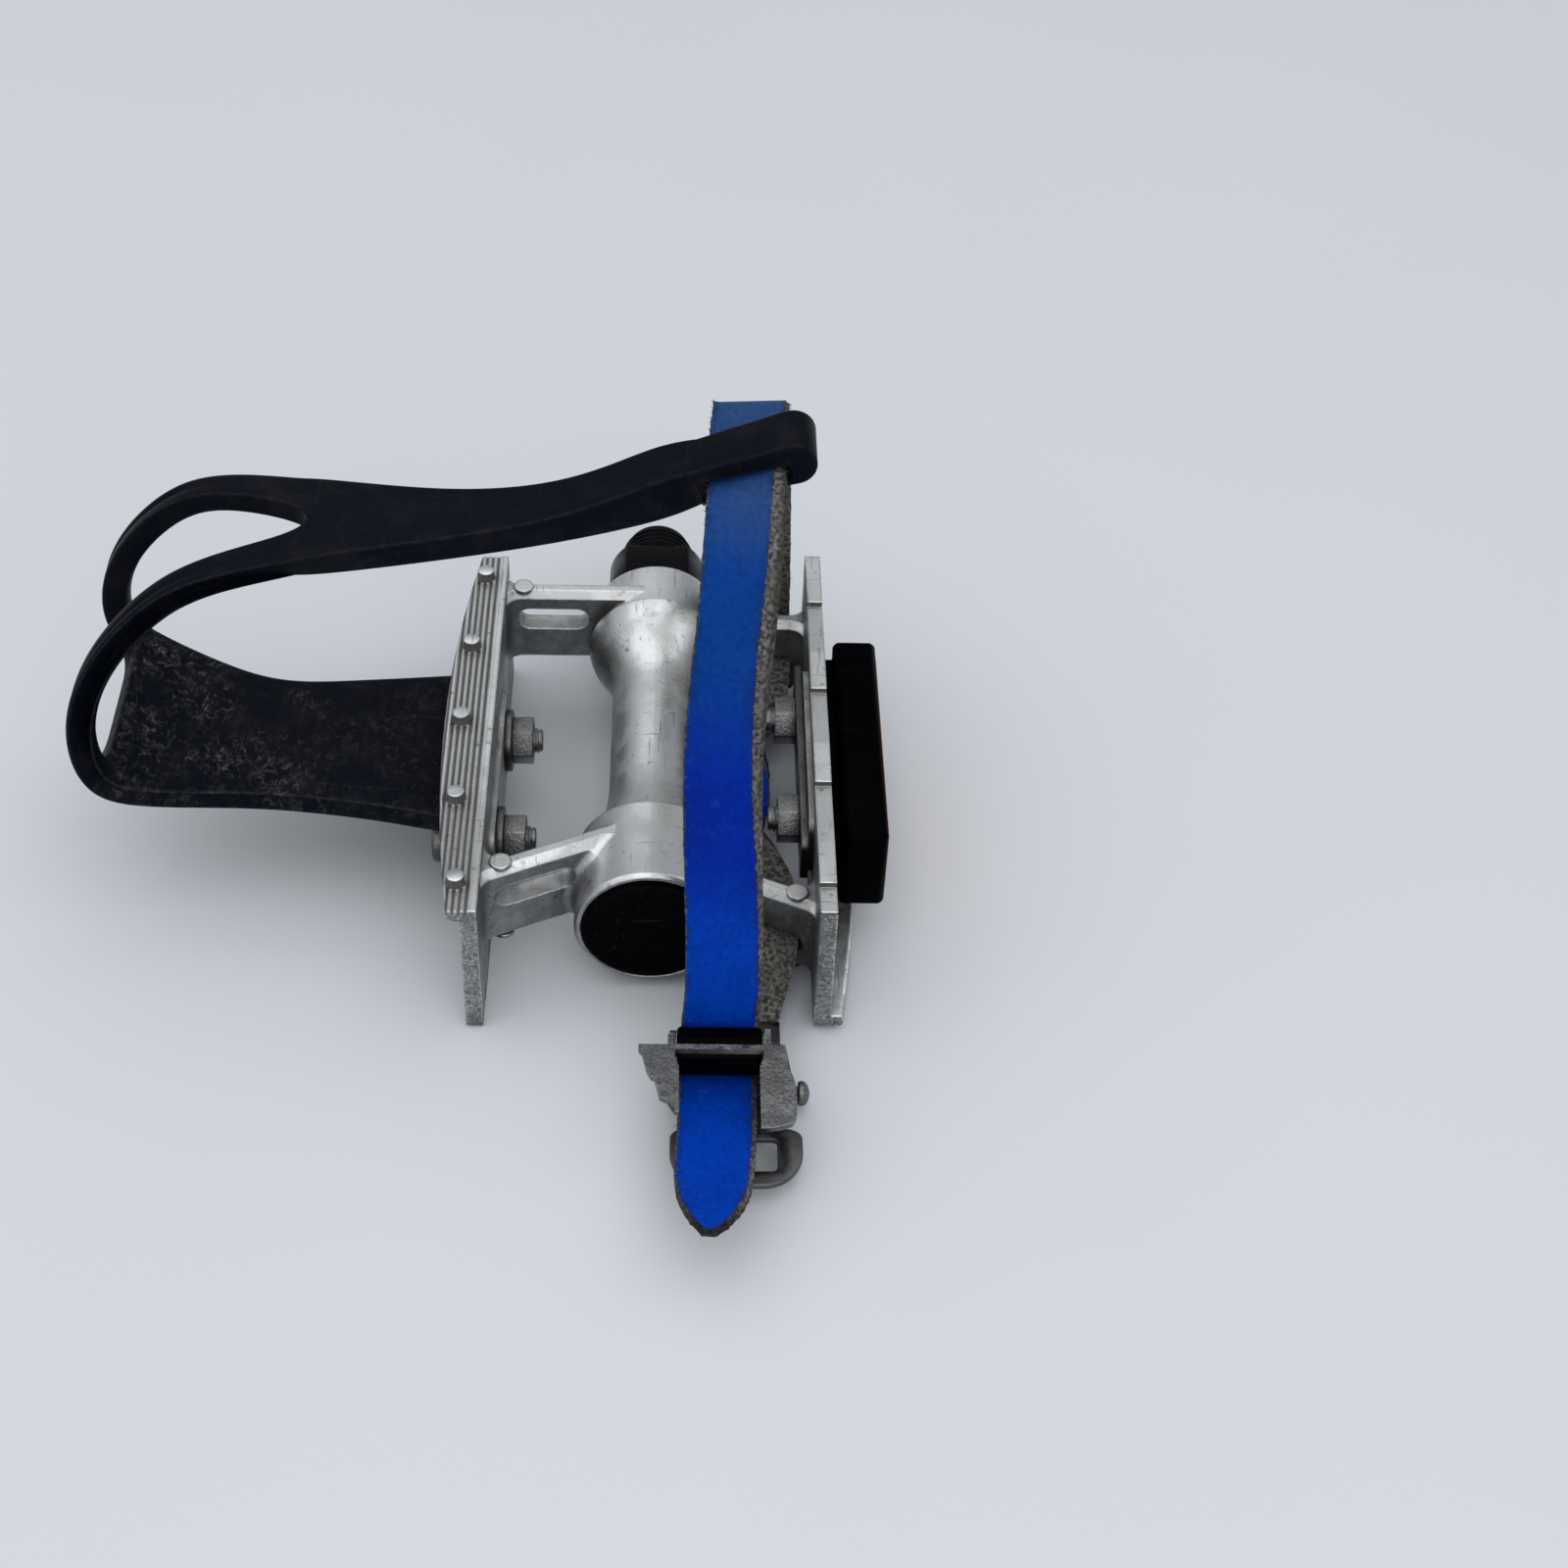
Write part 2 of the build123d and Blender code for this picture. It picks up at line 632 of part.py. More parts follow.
# Rear reflector: housing with a sunk lens, two studs through the plate, backing strip and nuts
housing_face = plate_outer + reflector_base_depth
housing_rear = housing_face + reflector_depth
lens_length = reflector_length - 2 * lens_margin
lens_height = reflector_height - 2 * lens_margin
lens_seat = housing_rear + lens_proud - lens_thick
backing_face = pad_face - backing_thick
with BuildPart() as reflector_housing:
    with BuildSketch(rear_plane(housing_face, 0, bolt_drop)):
        Rectangle(reflector_length, reflector_height)
    extrude(amount=reflector_depth)
    chamfer(reflector_housing.edges(), reflector_chamfer)
    with BuildSketch(rear_plane(plate_outer, 0, bolt_drop)):
        Rectangle(reflector_base_length, reflector_base_height)
    extrude(amount=reflector_base_depth)
    with BuildSketch(rear_plane(lens_seat, 0, bolt_drop)):
        Rectangle(lens_length + 2 * lens_gap, lens_height + 2 * lens_gap)
    extrude(amount=lens_thick, mode=Mode.SUBTRACT)
    with BuildSketch(rear_plane(plate_outer, 0, bolt_drop)):
        with Locations(*[(u, 0) for u in bolt_us]):
            Circle(bolt_r + thread_gap)
    extrude(amount=reflector_stud_depth, mode=Mode.SUBTRACT)
reflector_housing.part.label = "reflector_housing"
export_step(reflector_housing.part, "parts/reflector_housing.step")

with BuildPart() as reflector_lens:
    with BuildSketch(rear_plane(lens_seat, 0, bolt_drop)):
        Rectangle(lens_length, lens_height)
    extrude(amount=lens_thick)
reflector_lens.part.label = "reflector_lens"
export_step(reflector_lens.part, "parts/reflector_lens.step")

with BuildPart() as reflector_studs:
    stud_start = backing_face - nut_thick - bolt_tip
    with BuildSketch(rear_plane(stud_start, 0, bolt_drop)):
        with Locations(*[(u, 0) for u in bolt_us]):
            Circle(bolt_r)
    extrude(amount=plate_outer + reflector_stud_depth - stud_start)
reflector_studs.part.label = "reflector_studs"
export_step(reflector_studs.part, "parts/reflector_studs.step")

with BuildPart() as reflector_backing_strip:
    with BuildSketch(rear_plane(backing_face, 0, bolt_drop)):
        RectangleRounded(backing_length, backing_height, backing_height / 5)
        with Locations(*[(u, 0) for u in bolt_us]):
            Circle(bolt_hole_r, mode=Mode.SUBTRACT)
    extrude(amount=backing_thick)
reflector_backing_strip.part.label = "reflector_backing_strip"
export_step(reflector_backing_strip.part, "parts/reflector_backing_strip.step")

with BuildPart() as reflector_nuts:
    with BuildSketch(rear_plane(backing_face - nut_thick, 0, bolt_drop)):
        with Locations(*[(u, 0) for u in bolt_us]):
            RegularPolygon(nut_flats / 2, 6, major_radius=False)
            Circle(bolt_r + thread_gap, mode=Mode.SUBTRACT)
    extrude(amount=nut_thick)
reflector_nuts.part.label = "reflector_nuts"
export_step(reflector_nuts.part, "parts/reflector_nuts.step")

# Toe strap: clamped end, through both rear windows with one full twist, up through the loop, down under the roller
slot_x = loop_x + loop_slot_shift * cos(radians(loop_tilt)) + loop_slot_drop * sin(radians(loop_tilt))
slot_z = loop_z + loop_slot_shift * sin(radians(loop_tilt)) - loop_slot_drop * cos(radians(loop_tilt))
clamp_z = clamp_low + clamp_sheet + strap_gap + strap_thick / 2
wrap_r = roller_r + strap_gap + strap_thick / 2
far_u = inner_arm_at + arm_thick / 2 + strap_thick
strap_path = [
    (clamp_x, clamp_end + 2 * strap_gap, clamp_z, 0),
    (clamp_x, clamp_start + strap_gap, clamp_z, 0),
    (clamp_x, clamp_start + strap_thick, clamp_z, 0),
    (window_x - 1.4, -41.5, -window_z - 2.0, 0),
    (window_x, -36.8, -window_z, 0),
]
for k in range(twist_steps + 1):
    part_way = k / twist_steps
    draw_in = twist_draw_in * sqrt(abs(sin(pi * part_way)))
    twist_u = twist_start + (twist_end - twist_start) * part_way
    strap_path.append((window_x - draw_in, twist_u, -window_z, 360 * part_way))
strap_path += [
    (window_x, far_u, -window_z, 360),
    (window_x, far_u + 2.6, -window_z + 1.2, 360),
    (window_x, far_u + 4.0, -window_z + 4.4, 360),
    (window_x - 0.1, far_u + 4.2, 5.0, 360),
    (window_x - 0.5, far_u + 3.2, 17.0, 360),
    (window_x - 1.0, far_u - 0.2, 32.0, 360),
    (window_x - 1.9, far_u - 6.2, 47.0, 362),
    (window_x - 3.0, 31.5, slot_z - 13.7, 363),
    (slot_x + 0.8, 23.0, slot_z - 5.1, 365),
    (slot_x + 0.4, 16.6, slot_z + 0.7, 368),
    (slot_x + 0.2, 12.0, slot_z + 2.4, 373),
    (slot_x + 0.1, 8.6, slot_z + 1.4, 377),
    (slot_x, loop_width / 2 + 0.6, slot_z + 0.3, 360 + loop_tilt),
    (slot_x, 0, slot_z, 360 + loop_tilt),
    (slot_x, -loop_width / 2 - 0.6, slot_z - 0.3, 360 + loop_tilt),
    (slot_x - 0.5, -10.4, slot_z - 1.3, 376),
    (slot_x - 0.8, -18.0, slot_z - 5.5, 371),
    (slot_x - 1.8, -28.0, slot_z - 15.5, 366),
    (buckle_x - 0.4, -38.0, 42.5, 363),
    (buckle_x + 0.2, -47.0, 26.0, 361),
    (buckle_x + 0.8, -54.3, 9.6, 360),
    (buckle_x + 0.6, roller_u + wrap_r + 1.4, roller_z + 4.0, 360),
]
for turn in (85, 68, 51, 34, 17, 0):
    strap_path.append((buckle_x, roller_u + wrap_r * sin(radians(turn)), roller_z - wrap_r * cos(radians(turn)), 360))
strap_path += [
    (buckle_x - 0.1, -69.5, -7.7, 360),
    (buckle_x - 0.3, -78.0, -5.8, 360),
    (buckle_x - 0.6, -88.0, -3.5, 360),
    (buckle_x - 1.2, -97.0, -1.7, 360),
    (buckle_x - 1.8, -104.0, -0.7, 360),
]
with BuildPart() as toe_strap:
    points = [(x, mid + u, z) for x, u, z, roll in strap_path]
    last = len(points) - 1
    for k, (x, u, z, roll) in enumerate(strap_path):
        wide = (cos(radians(roll)), 0, sin(radians(roll)))
        with BuildSketch(section_plane(points[max(k - 1, 0)], points[k], points[min(k + 1, last)], wide)):
            Rectangle(strap_tip_width if k == last else strap_width, strap_thick)
    loft(ruled=True)
toe_strap.part.label = "toe_strap"
export_step(toe_strap.part, "parts/toe_strap.step")

# Buckle frame: one folded sheet with two cheeks, two wings, a bar, a base and the clamp for the strap's end
cheek_in = roller_length / 2 + cheek_clear
cheek_left = buckle_x - cheek_in - sheet
cheek_right = buckle_x + cheek_in + sheet
bar_left = buckle_x - bar_length / 2 - sheet
wing_low = wing_top - sheet
clamp_half = strap_width / 2 + 4 * strap_gap
clamp_high = clamp_z + strap_thick / 2 + strap_gap
with BuildPart() as buckle_frame:
    for x in (cheek_left, cheek_right - sheet):
        with BuildSketch(rear_plane(x)):
            Polygon((clamp_end - clamp_sheet / 2, clamp_low), (clamp_end - clamp_sheet / 2, clamp_high),
                    (roller_u + roller_r, roller_z), (roller_u + roller_r / 2, roller_z + roller_r + sheet / 2),
                    (bar_u, wing_top), (wing_end, wing_top), (wing_end, wing_low),
                    (tab_start, roller_z - roller_r), (pivot_u - 2 * lever_hub_r, clamp_low), align=None)
        extrude(amount=sheet)
    with BuildSketch(Plane.XY.offset(wing_low)):
        Polygon((bar_left, mid + bar_u + bar_width), (cheek_left + sheet, mid + bar_u + bar_width),
                (cheek_left + sheet, mid + wing_end), (bar_left + wing_taper, mid + wing_end), align=None)
        Polygon((cheek_right - sheet, mid + bar_u + bar_width), (right_wall_x, mid + bar_u + bar_width),
                (right_wall_x + sheet, mid + wing_end), (cheek_right - sheet, mid + wing_end), align=None)
        with Locations((bar_left, mid + bar_u)):
            Rectangle(right_wall_x - bar_left, bar_width, align=(Align.MIN, Align.MIN))
    extrude(amount=sheet)
    with BuildSketch(rear_plane(right_wall_x)):
        Polygon((bar_u + bar_width, wing_top), (bar_u + bar_width, roller_z), (pivot_u + 2 * lever_hub_r, pivot_z),
                (pivot_u + lever_hub_r, clamp_low), (pivot_u - lever_hub_r, clamp_low),
                (pivot_u - 2 * lever_hub_r, pivot_z), (wing_end + wing_taper, wing_top), align=None)
    extrude(amount=sheet)
    with BuildSketch(Plane.XY.offset(clamp_low)):
        Polygon((clamp_x - clamp_half, mid + clamp_start), (clamp_x + clamp_half, mid + clamp_start),
                (clamp_x + clamp_half, mid + clamp_end - clamp_sheet), (cheek_right, mid + base_end),
                (cheek_left, mid + base_end), (cheek_left, mid + clamp_end - clamp_sheet / 2), align=None)
    extrude(amount=clamp_sheet)
    with BuildSketch(Plane.XY.offset(clamp_high)):
        with Locations((clamp_x, mid + clamp_start)):
            Rectangle(2 * clamp_half, clamp_start - clamp_end + clamp_sheet, align=(Align.CENTER, Align.MAX))
    extrude(amount=clamp_sheet)
    with BuildSketch(Plane.XY.offset(clamp_low)):
        with Locations((clamp_x, mid + clamp_end)):
            Rectangle(2 * clamp_half, clamp_sheet, align=(Align.CENTER, Align.MAX))
    extrude(amount=clamp_high + clamp_sheet - clamp_low)
    with Locations(rear_plane(buckle_x, roller_u, roller_z)):
        Cylinder(roller_pin_r + press_gap, 2 * bar_length, mode=Mode.SUBTRACT)
    with Locations(rear_plane(buckle_x, pivot_u, pivot_z)):
        Cylinder(pivot_r + running_gap, 2 * bar_length, mode=Mode.SUBTRACT)
buckle_frame.part.label = "buckle_frame"
export_step(buckle_frame.part, "parts/buckle_frame.step")

with BuildPart() as buckle_roller_pin:
    with BuildSketch(rear_plane(cheek_left - sheet / 2, roller_u, roller_z)):
        Circle(roller_pin_r)
    extrude(amount=cheek_right - cheek_left + sheet)
buckle_roller_pin.part.label = "buckle_roller_pin"
export_step(buckle_roller_pin.part, "parts/buckle_roller_pin.step")

with BuildPart() as buckle_roller:
    with BuildSketch(rear_plane(buckle_x - roller_length / 2, roller_u, roller_z)):
        Circle(roller_r)
        Circle(roller_pin_r + running_gap, mode=Mode.SUBTRACT)
    extrude(amount=roller_length)
    rounds = buckle_roller.edges().filter_by(GeomType.CIRCLE)
    fillet(rounds.filter_by(lambda e: e.radius > 2 * roller_pin_r), cheek_clear)
buckle_roller.part.label = "buckle_roller"
export_step(buckle_roller.part, "parts/buckle_roller.step")

with BuildPart() as buckle_pivot_pin:
    with BuildSketch(rear_plane(cheek_left - sheet / 2, pivot_u, pivot_z)):
        Circle(pivot_r)
    extrude(amount=right_wall_x + sheet - cheek_left + sheet / 2)
    with BuildSketch(rear_plane(right_wall_x + sheet, pivot_u, pivot_z)):
        Circle(pivot_head_r)
    extrude(amount=pivot_head_height)
    fillet(buckle_pivot_pin.faces().sort_by(Axis.X)[-1].edges(), pivot_head_height / 2)
buckle_pivot_pin.part.label = "buckle_pivot_pin"
export_step(buckle_pivot_pin.part, "parts/buckle_pivot_pin.step")

# Buckle lever: hub with a gripping nose under the strap, arm and thumb tab with a window
spring_r = pivot_r + spring_gap + spring_wire_r
spring_start = cheek_left + sheet + spring_wire_r + spring_gap
hub_left = spring_start + spring_turns * spring_pitch + spring_wire_r + spring_gap
hub_right = cheek_right - sheet - lever_clear
with BuildPart() as buckle_lever:
    with BuildSketch(rear_plane(hub_left, pivot_u, pivot_z)):
        Circle(lever_hub_r)
        Polygon((nose_back - nose_width, 0), (nose_back - nose_width / 4, nose_height), (nose_back, nose_height),
                (nose_back + nose_width / 6, 0), align=None)
        with Locations((0, lever_thick / 2)):
            Rectangle(pivot_u - tab_start + sheet, lever_thick, align=(Align.MAX, Align.CENTER))
    extrude(amount=hub_right - hub_left)
    with BuildSketch(Plane.XY.offset(pivot_z)) as tab_plan:
        with Locations((tab_x, mid + (tab_start + tab_end) / 2)):
            Rectangle(tab_width, tab_start - tab_end)
        fillet(tab_plan.vertices().group_by(Axis.Y)[0], tab_tip_corner)
        fillet(tab_plan.vertices().group_by(Axis.Y)[-1], tab_corner)
        with Locations((tab_x, mid + tab_window_end + tab_window_length / 2)):
            RectangleRounded(tab_window_width, tab_window_length, sheet, mode=Mode.SUBTRACT)
    extrude(amount=lever_thick)
    with Locations(rear_plane(hub_left, pivot_u, pivot_z)):
        Cylinder(pivot_r + running_gap, 2 * bar_length, mode=Mode.SUBTRACT)
buckle_lever.part.label = "buckle_lever"
export_step(buckle_lever.part, "parts/buckle_lever.step")

with BuildPart() as buckle_spring:
    with BuildLine() as coil:
        Helix(spring_pitch, spring_turns * spring_pitch, spring_r, center=(spring_start, mid + pivot_u, pivot_z),
              direction=(1, 0, 0))
    with BuildSketch(Plane(origin=coil.line @ 0, z_dir=coil.line % 0)):
        Circle(spring_wire_r)
    sweep(is_frenet=True)
buckle_spring.part.label = "buckle_spring"
export_step(buckle_spring.part, "parts/buckle_spring.step")
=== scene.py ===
"""Looks of a toe clip pedal: cast cage, moulded clip, leather strap with its buckle, and rear reflector.

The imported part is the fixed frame, in metres: +Y runs along the spindle to the crank, +X is the rear and +Z is up.
Station lists are in millimetres, with u measured along +Y from the middle of the cage.
"""

from math import atan2, cos, pi, radians, sin, sqrt
from random import Random

import bmesh
import bpy
from bpy.props import FloatProperty, FloatVectorProperty, PointerProperty
from mathutils import Matrix, Vector, noise


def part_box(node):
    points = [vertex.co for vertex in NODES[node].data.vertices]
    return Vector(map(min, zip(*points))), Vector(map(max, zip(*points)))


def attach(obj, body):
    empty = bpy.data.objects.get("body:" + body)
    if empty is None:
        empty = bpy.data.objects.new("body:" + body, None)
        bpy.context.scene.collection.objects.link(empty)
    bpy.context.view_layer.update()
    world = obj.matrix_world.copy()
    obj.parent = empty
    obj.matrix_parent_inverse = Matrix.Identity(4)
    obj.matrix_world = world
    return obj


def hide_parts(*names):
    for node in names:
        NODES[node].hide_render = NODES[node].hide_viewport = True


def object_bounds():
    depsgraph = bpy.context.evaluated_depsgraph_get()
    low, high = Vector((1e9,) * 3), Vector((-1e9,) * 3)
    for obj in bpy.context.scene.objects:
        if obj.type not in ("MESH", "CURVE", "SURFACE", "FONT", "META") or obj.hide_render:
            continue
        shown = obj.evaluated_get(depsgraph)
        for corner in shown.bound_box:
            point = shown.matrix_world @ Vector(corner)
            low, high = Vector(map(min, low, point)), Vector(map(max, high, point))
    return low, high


bl_info = {
    "name": "Toe Clip Pedal",
    "version": (1, 0, 0),
    "blender": (4, 5, 0),
    "location": "View3D > Sidebar > Pedal",
    "description": "Dresses a toe clip pedal: cage, spindle, clip, strap, buckle and reflector",
    "category": "Object",
}

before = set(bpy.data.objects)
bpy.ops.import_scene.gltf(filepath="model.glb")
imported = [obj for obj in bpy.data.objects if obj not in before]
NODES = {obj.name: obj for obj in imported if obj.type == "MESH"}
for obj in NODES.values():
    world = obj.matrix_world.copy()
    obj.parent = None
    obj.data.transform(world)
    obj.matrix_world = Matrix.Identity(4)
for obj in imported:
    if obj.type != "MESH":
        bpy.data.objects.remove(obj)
cad_box = [list(corner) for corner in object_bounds()]
MM = 0.001
CAGE_MIDDLE = -61.5

# Toe clip: middle line of each strip in the XZ plane, with the half width or the distance from the middle
TONGUE = [
    (-94.0, 14.4, 22.6), (-85.5, 11.4, 20.0), (-75.5, 8.8, 17.05), (-67.3, 7.8, 16.3), (-58.0, 7.6, 17.2),
    (-48.1, 7.3, 18.5), (-38.8, 6.65, 20.15), (-33.0, 6.6, 21.0),
]
TOE_STRIP = [
    (-61.0, 57.5, 9.4), (-70.5, 56.9, 11.5), (-80.5, 54.6, 13.7), (-88.6, 47.8, 15.3), (-95.0, 39.5, 16.5),
    (-98.6, 31.0, 17.6), (-99.3, 23.0, 18.6), (-97.6, 17.2, 19.5),
]
TOP_STRIP = [
    (9.3, 71.95, 4.6), (2.0, 69.6, 5.3), (-7.0, 65.4, 5.05), (-17.8, 61.5, 5.2), (-31.4, 59.2, 6.4),
    (-44.6, 58.3, 8.5), (-58.1, 57.7, 11.3),
]
LOOP_PLACE = (16.8, 0.0, 74.1)
LOOP_TILT = radians(18.4)
LOOP_SIZE = (21.5, 10.4, 7.9)
LOOP_END_ROUND = 3.85
LOOP_SLOT = (15.2, 3.0)
LOOP_SLOT_SHIFT = (-1.5, -1.2)
# Thickness of the top strip at its first stations, and how far its outer side stands off the middle line
LOOP_SWELL = [(6.2, 2.8), (7.9, 3.3), (6.4, 2.7), (5.0, 2.4)]
# Shares of its width and height that the loop keeps at the end that runs into the top strip
LOOP_TAPER = (0.9, 0.8)
# Widths of the toe strips next to the fork, where they are broader
FORK_WIDTHS = (7.9, 6.3, 5.4)
BASE_PLACE = (-34.1, 0.0, -2.2)
BASE_SIZE = (3.8, 50.0, 17.6)
BASE_CORNER_ROUND = 3.2
# Where along x the grooves of the strips start to fade into the top strip, and over what length
GROOVE_FROM = -36.0
GROOVE_RUN = 20.0
# Share of the strips' relief that stays along the tongue's edges
TONGUE_RELIEF = 0.4
# Brow between the toe strips: how far its middle lies from the strips' ends along x, z and the outward normal
BROW = (1.2, -0.9, -0.7)

# Toe strap: x, u, z and the turn of its width about the path in degrees, from the clamped end to the tip
STRAP_START = [
    (16.0, -57.8, -11.9, 0), (16.0, -51.5, -11.9, 0), (16.0, -49.6, -11.9, 0), (18.8, -41.5, -7.55, 0),
    (20.2, -36.8, -5.55, 0),
]
# Full twist under the barrel: steps, where it starts and ends along u, its x and z, and how far it is drawn in
TWIST_STEPS = 14
TWIST_FROM = -23.0
TWIST_TO = 31.0
TWIST_PLACE = (20.2, -5.55)
TWIST_DRAW_IN = 4.5
STRAP_RISE = [
    (20.2, 46.1, -5.55, 360), (20.2, 48.7, -4.35, 360), (20.2, 50.1, -1.15, 360), (20.1, 50.3, 5.0, 360),
    (19.7, 49.3, 17.0, 360), (19.2, 45.9, 32.0, 360), (18.3, 39.9, 47.0, 362), (17.2, 31.5, 58.8, 362),
    (16.8, 23.0, 67.4, 362), (16.7, 16.6, 73.2, 363), (16.5, 12.0, 74.9, 366), (16.0, 8.6, 73.9, 374),
    (15.76, 5.8, 72.8, 378.4), (15.76, 0.0, 72.49, 378.4), (15.76, -5.8, 72.2, 378.4), (15.3, -10.4, 71.2, 376),
    (14.9, -18.0, 67.0, 371), (13.9, -28.0, 57.0, 366), (11.8, -38.0, 42.5, 363), (12.4, -47.0, 26.0, 361),
    (13.0, -54.3, 9.6, 360), (12.8, -58.1, 0.7, 360),
]
# Roller that the strap turns round: its middle, the radius of the strap's path, its own radius and the turns in degrees
ROLLER_PLACE = (12.2, -64.2, -3.3)
ROLLER_WRAP = 5.2
ROLLER_RADIUS = 4.1
ROLLER_TURNS = (85, 68, 51, 34, 17, 0)
# Station of the rise where the near run starts, in front of the loop
NEAR_STATION = 13
STRAP_TAIL = [
    (12.1, -69.5, -8.0, 360), (11.9, -78.0, -5.9, 360), (11.6, -86.0, -4.0, 360), (11.3, -91.0, -2.9, 360),
    (11.1, -95.0, -2.1, 360), (10.9, -98.4, -1.5, 360), (10.7, -101.3, -1.1, 360), (10.5, -103.2, -0.8, 360),
    (10.4, -104.0, -0.7, 360),
]
# Shares of the full width at the last stations
TIP_SHARES = (0.985, 0.93, 0.77, 0.52, 0.28, 0.14)
# Lines across the strap, as shares of its half width
STRAP_LINES = (-1.0, -0.95, -0.5, 0.0, 0.5, 0.8, 0.95, 1.0)
# Height on the near run, and the share of the width left of which the coat is whole on its right-hand side
COAT_LIMITS = [(75.0, 0.74), (66.0, 0.66), (57.0, 0.60), (42.0, 0.72), (26.0, 0.84), (10.0, 0.89), (-20.0, 0.90)]
# Creases pressed into the near run: height, how far they reach in millimetres, and their depth
CREASES = [(58.6, 0.5, 0.9), (57.3, 0.45, 0.7), (52.0, 0.6, 0.8), (51.0, 0.4, 0.5), (30.0, 0.8, 0.35), (10.4, 0.5, 0.7)]
# Loose fibres: how many, and their least and greatest length and root radius
FIBRES = 900
FIBRE_LENGTHS = (0.25, 0.95)
FIBRE_ROOTS = (0.04, 0.09)
FIBRE_TIP = 0.015
FIBRE_SEED = 5
# How far the fibres lean about, the share of their length that their middle stands off, and how bare they count
FIBRE_LEAN = 0.75
FIBRE_STAND = 0.35
FIBRE_TRIM = 0.1
# Shares of the half width where the coat ends on the left, and beyond which edges wander and fibres are rooted
COAT_LEFT = 0.97
FRAY_FROM = 0.9
ROOTS_FROM = 0.985
# Wandering edges: scales of the coarse and the fine noise per metre, and the share of the fine one
FRAY_SCALES = (900.0, 2500.0)
FRAY_FINE_SHARE = 0.7
# Painted light on the strap: heights between which its blue changes, in metres, and what it changes to
STRAP_PAINTED_LIGHT = [
    (0.012, 0.028, (0.0003, 0.022, 0.34)), (0.034, 0.058, (0.002, 0.046, 0.26)), (0.064, 0.076, (0.03, 0.075, 0.21)),
]
# Where along Y the tip's bare leather starts to be painted dark as shade, and where it is fully so, in metres
STRAP_SHADED_TIP = (-0.158, -0.1645)
# Buckle: outline of the top sheet at z 1.5, as x and u, with the bar along its far side
BUCKLE_TOP = [
    (-1.41, -66.8), (-1.41, -67.9), (-0.81, -68.6), (-0.02, -72.25), (0.74, -73.94), (1.32, -74.13), (2.24, -78.24),
    (3.5, -78.9), (4.8, -81.2), (5.5, -81.4), (5.4, -71.5), (4.6, -69.2), (4.8, -68.0), (19.6, -68.0), (19.7, -69.2),
    (18.9, -71.5), (18.9, -84.8), (21.8, -84.4), (24.1, -83.6), (24.7, -82.4), (24.99, -79.16), (24.93, -76.17),
    (24.54, -74.29), (23.73, -71.64), (23.24, -67.42), (22.68, -66.8),
]
# Ears at the ends of the roller: their near and far sides in x
BUCKLE_EARS = ((3.8, 4.95), (19.45, 20.6))
BUCKLE_EAR_RADIUS = 3.5
# Under side and top of the top sheet
BUCKLE_SHEET = (0.5, 1.5)
# How far below the sheet's under side the frame is cut off, and how far the new sheet reaches down
BUCKLE_CUT = 0.05
BUCKLE_LAP = 0.1
# Right-hand cheek: the x beyond which it is drawn in, how far, and the u and the length over which that grows
CHEEK_PULL = (23.5, 1.7, -76.0, 10.0)
# Left-hand cheek: the x within which it is trimmed, its far edge, its step's height and the near edges below and above
CHEEK_TRIM = (5.0, -63.5, -13.3, -66.2, -68.2)
# Lever's ring: how far it is pushed back, and the u and the length over which that grows
RING_PUSH = (1.7, -74.0, 6.0)
# Pivot pin with its round head: x and radius
RIVET = [(3.0, 1.2), (25.9, 1.2), (25.9, 1.85), (26.15, 2.15), (26.6, 2.2), (27.2, 1.95), (27.65, 1.35), (27.9, 0.5)]
RIVET_PLACE = (-66.2, -11.9)
ROLLER_RIBS = 22
ROLLER_RIB_DEPTH = 0.022
# Studs on the front tread: x and u of each, and the radius, foot and top of the cap that each one wears
STUDS = [(-33.15, -41.8), (-34.55, -20.9), (-35.05, 0.0), (-34.55, 20.9), (-33.15, 41.8)]
STUD_CAP = (1.58, 13.9, 16.1)
# Tread: first groove, groove pitch, and the heights between which the grooves are cut, in metres
TREAD = (-0.0311, 0.0011, 0.0132, 0.0142)
# Rough ends of the cage's plates: where they start and where they are full, in metres
PLATE_END_X = (0.027, 0.0285)
PLATE_END_Y = (-0.095, -0.099)
# Spindle: radius over the crank thread's crests, and the share of the pitch that the thread is deep
SPINDLE_RADIUS = 7.144
SPINDLE_DEPTH = 0.62
# Dust cap: half of its section, as radius and u
CAP_SECTION = [
    (0.0, -38.62), (9.9, -38.6), (10.3, -38.68), (10.6, -38.86), (11.0, -38.9), (11.9, -38.9), (12.15, -38.8),
    (12.2, -38.6), (12.2, -37.3), (10.8, -37.3), (10.8, -34.3), (9.6, -34.3), (9.6, -37.2), (0.0, -37.2),
]
# Bolts and studs: radius, the share of the pitch that the thread is deep, u of each and their distance from z 0
BOLT_RADIUS = 2.5
BOLT_DEPTH = 0.55
BOLT_US = (-13.5, 13.5)
BOLT_LEVEL = 3.0
# Shares of its height and width that the lens keeps inside its housing
LENS_SHARES = (0.985, 0.95)
# Lights: name, place and aim in metres, side in metres and power in watts
LIGHTS = [
    ("ceiling", (-0.1, -0.3, 1.2), (0, -0.1, 0), 3.2, 29.0),
    ("fill", (0.3, -1.2, 0.7), (0, -0.06, 0), 0.9, 2.2),
]
SKY = (0.93, 0.96, 1.0, 1.0)
SKY_STRENGTH = 0.3
# Camera: place in millimetres of the frame, and its tilt down, heading and roll in degrees
CAMERA_PLACE = (4.6, -406.77, 322.22)
CAMERA_TURN = (43.06, 3.32, 2.96)


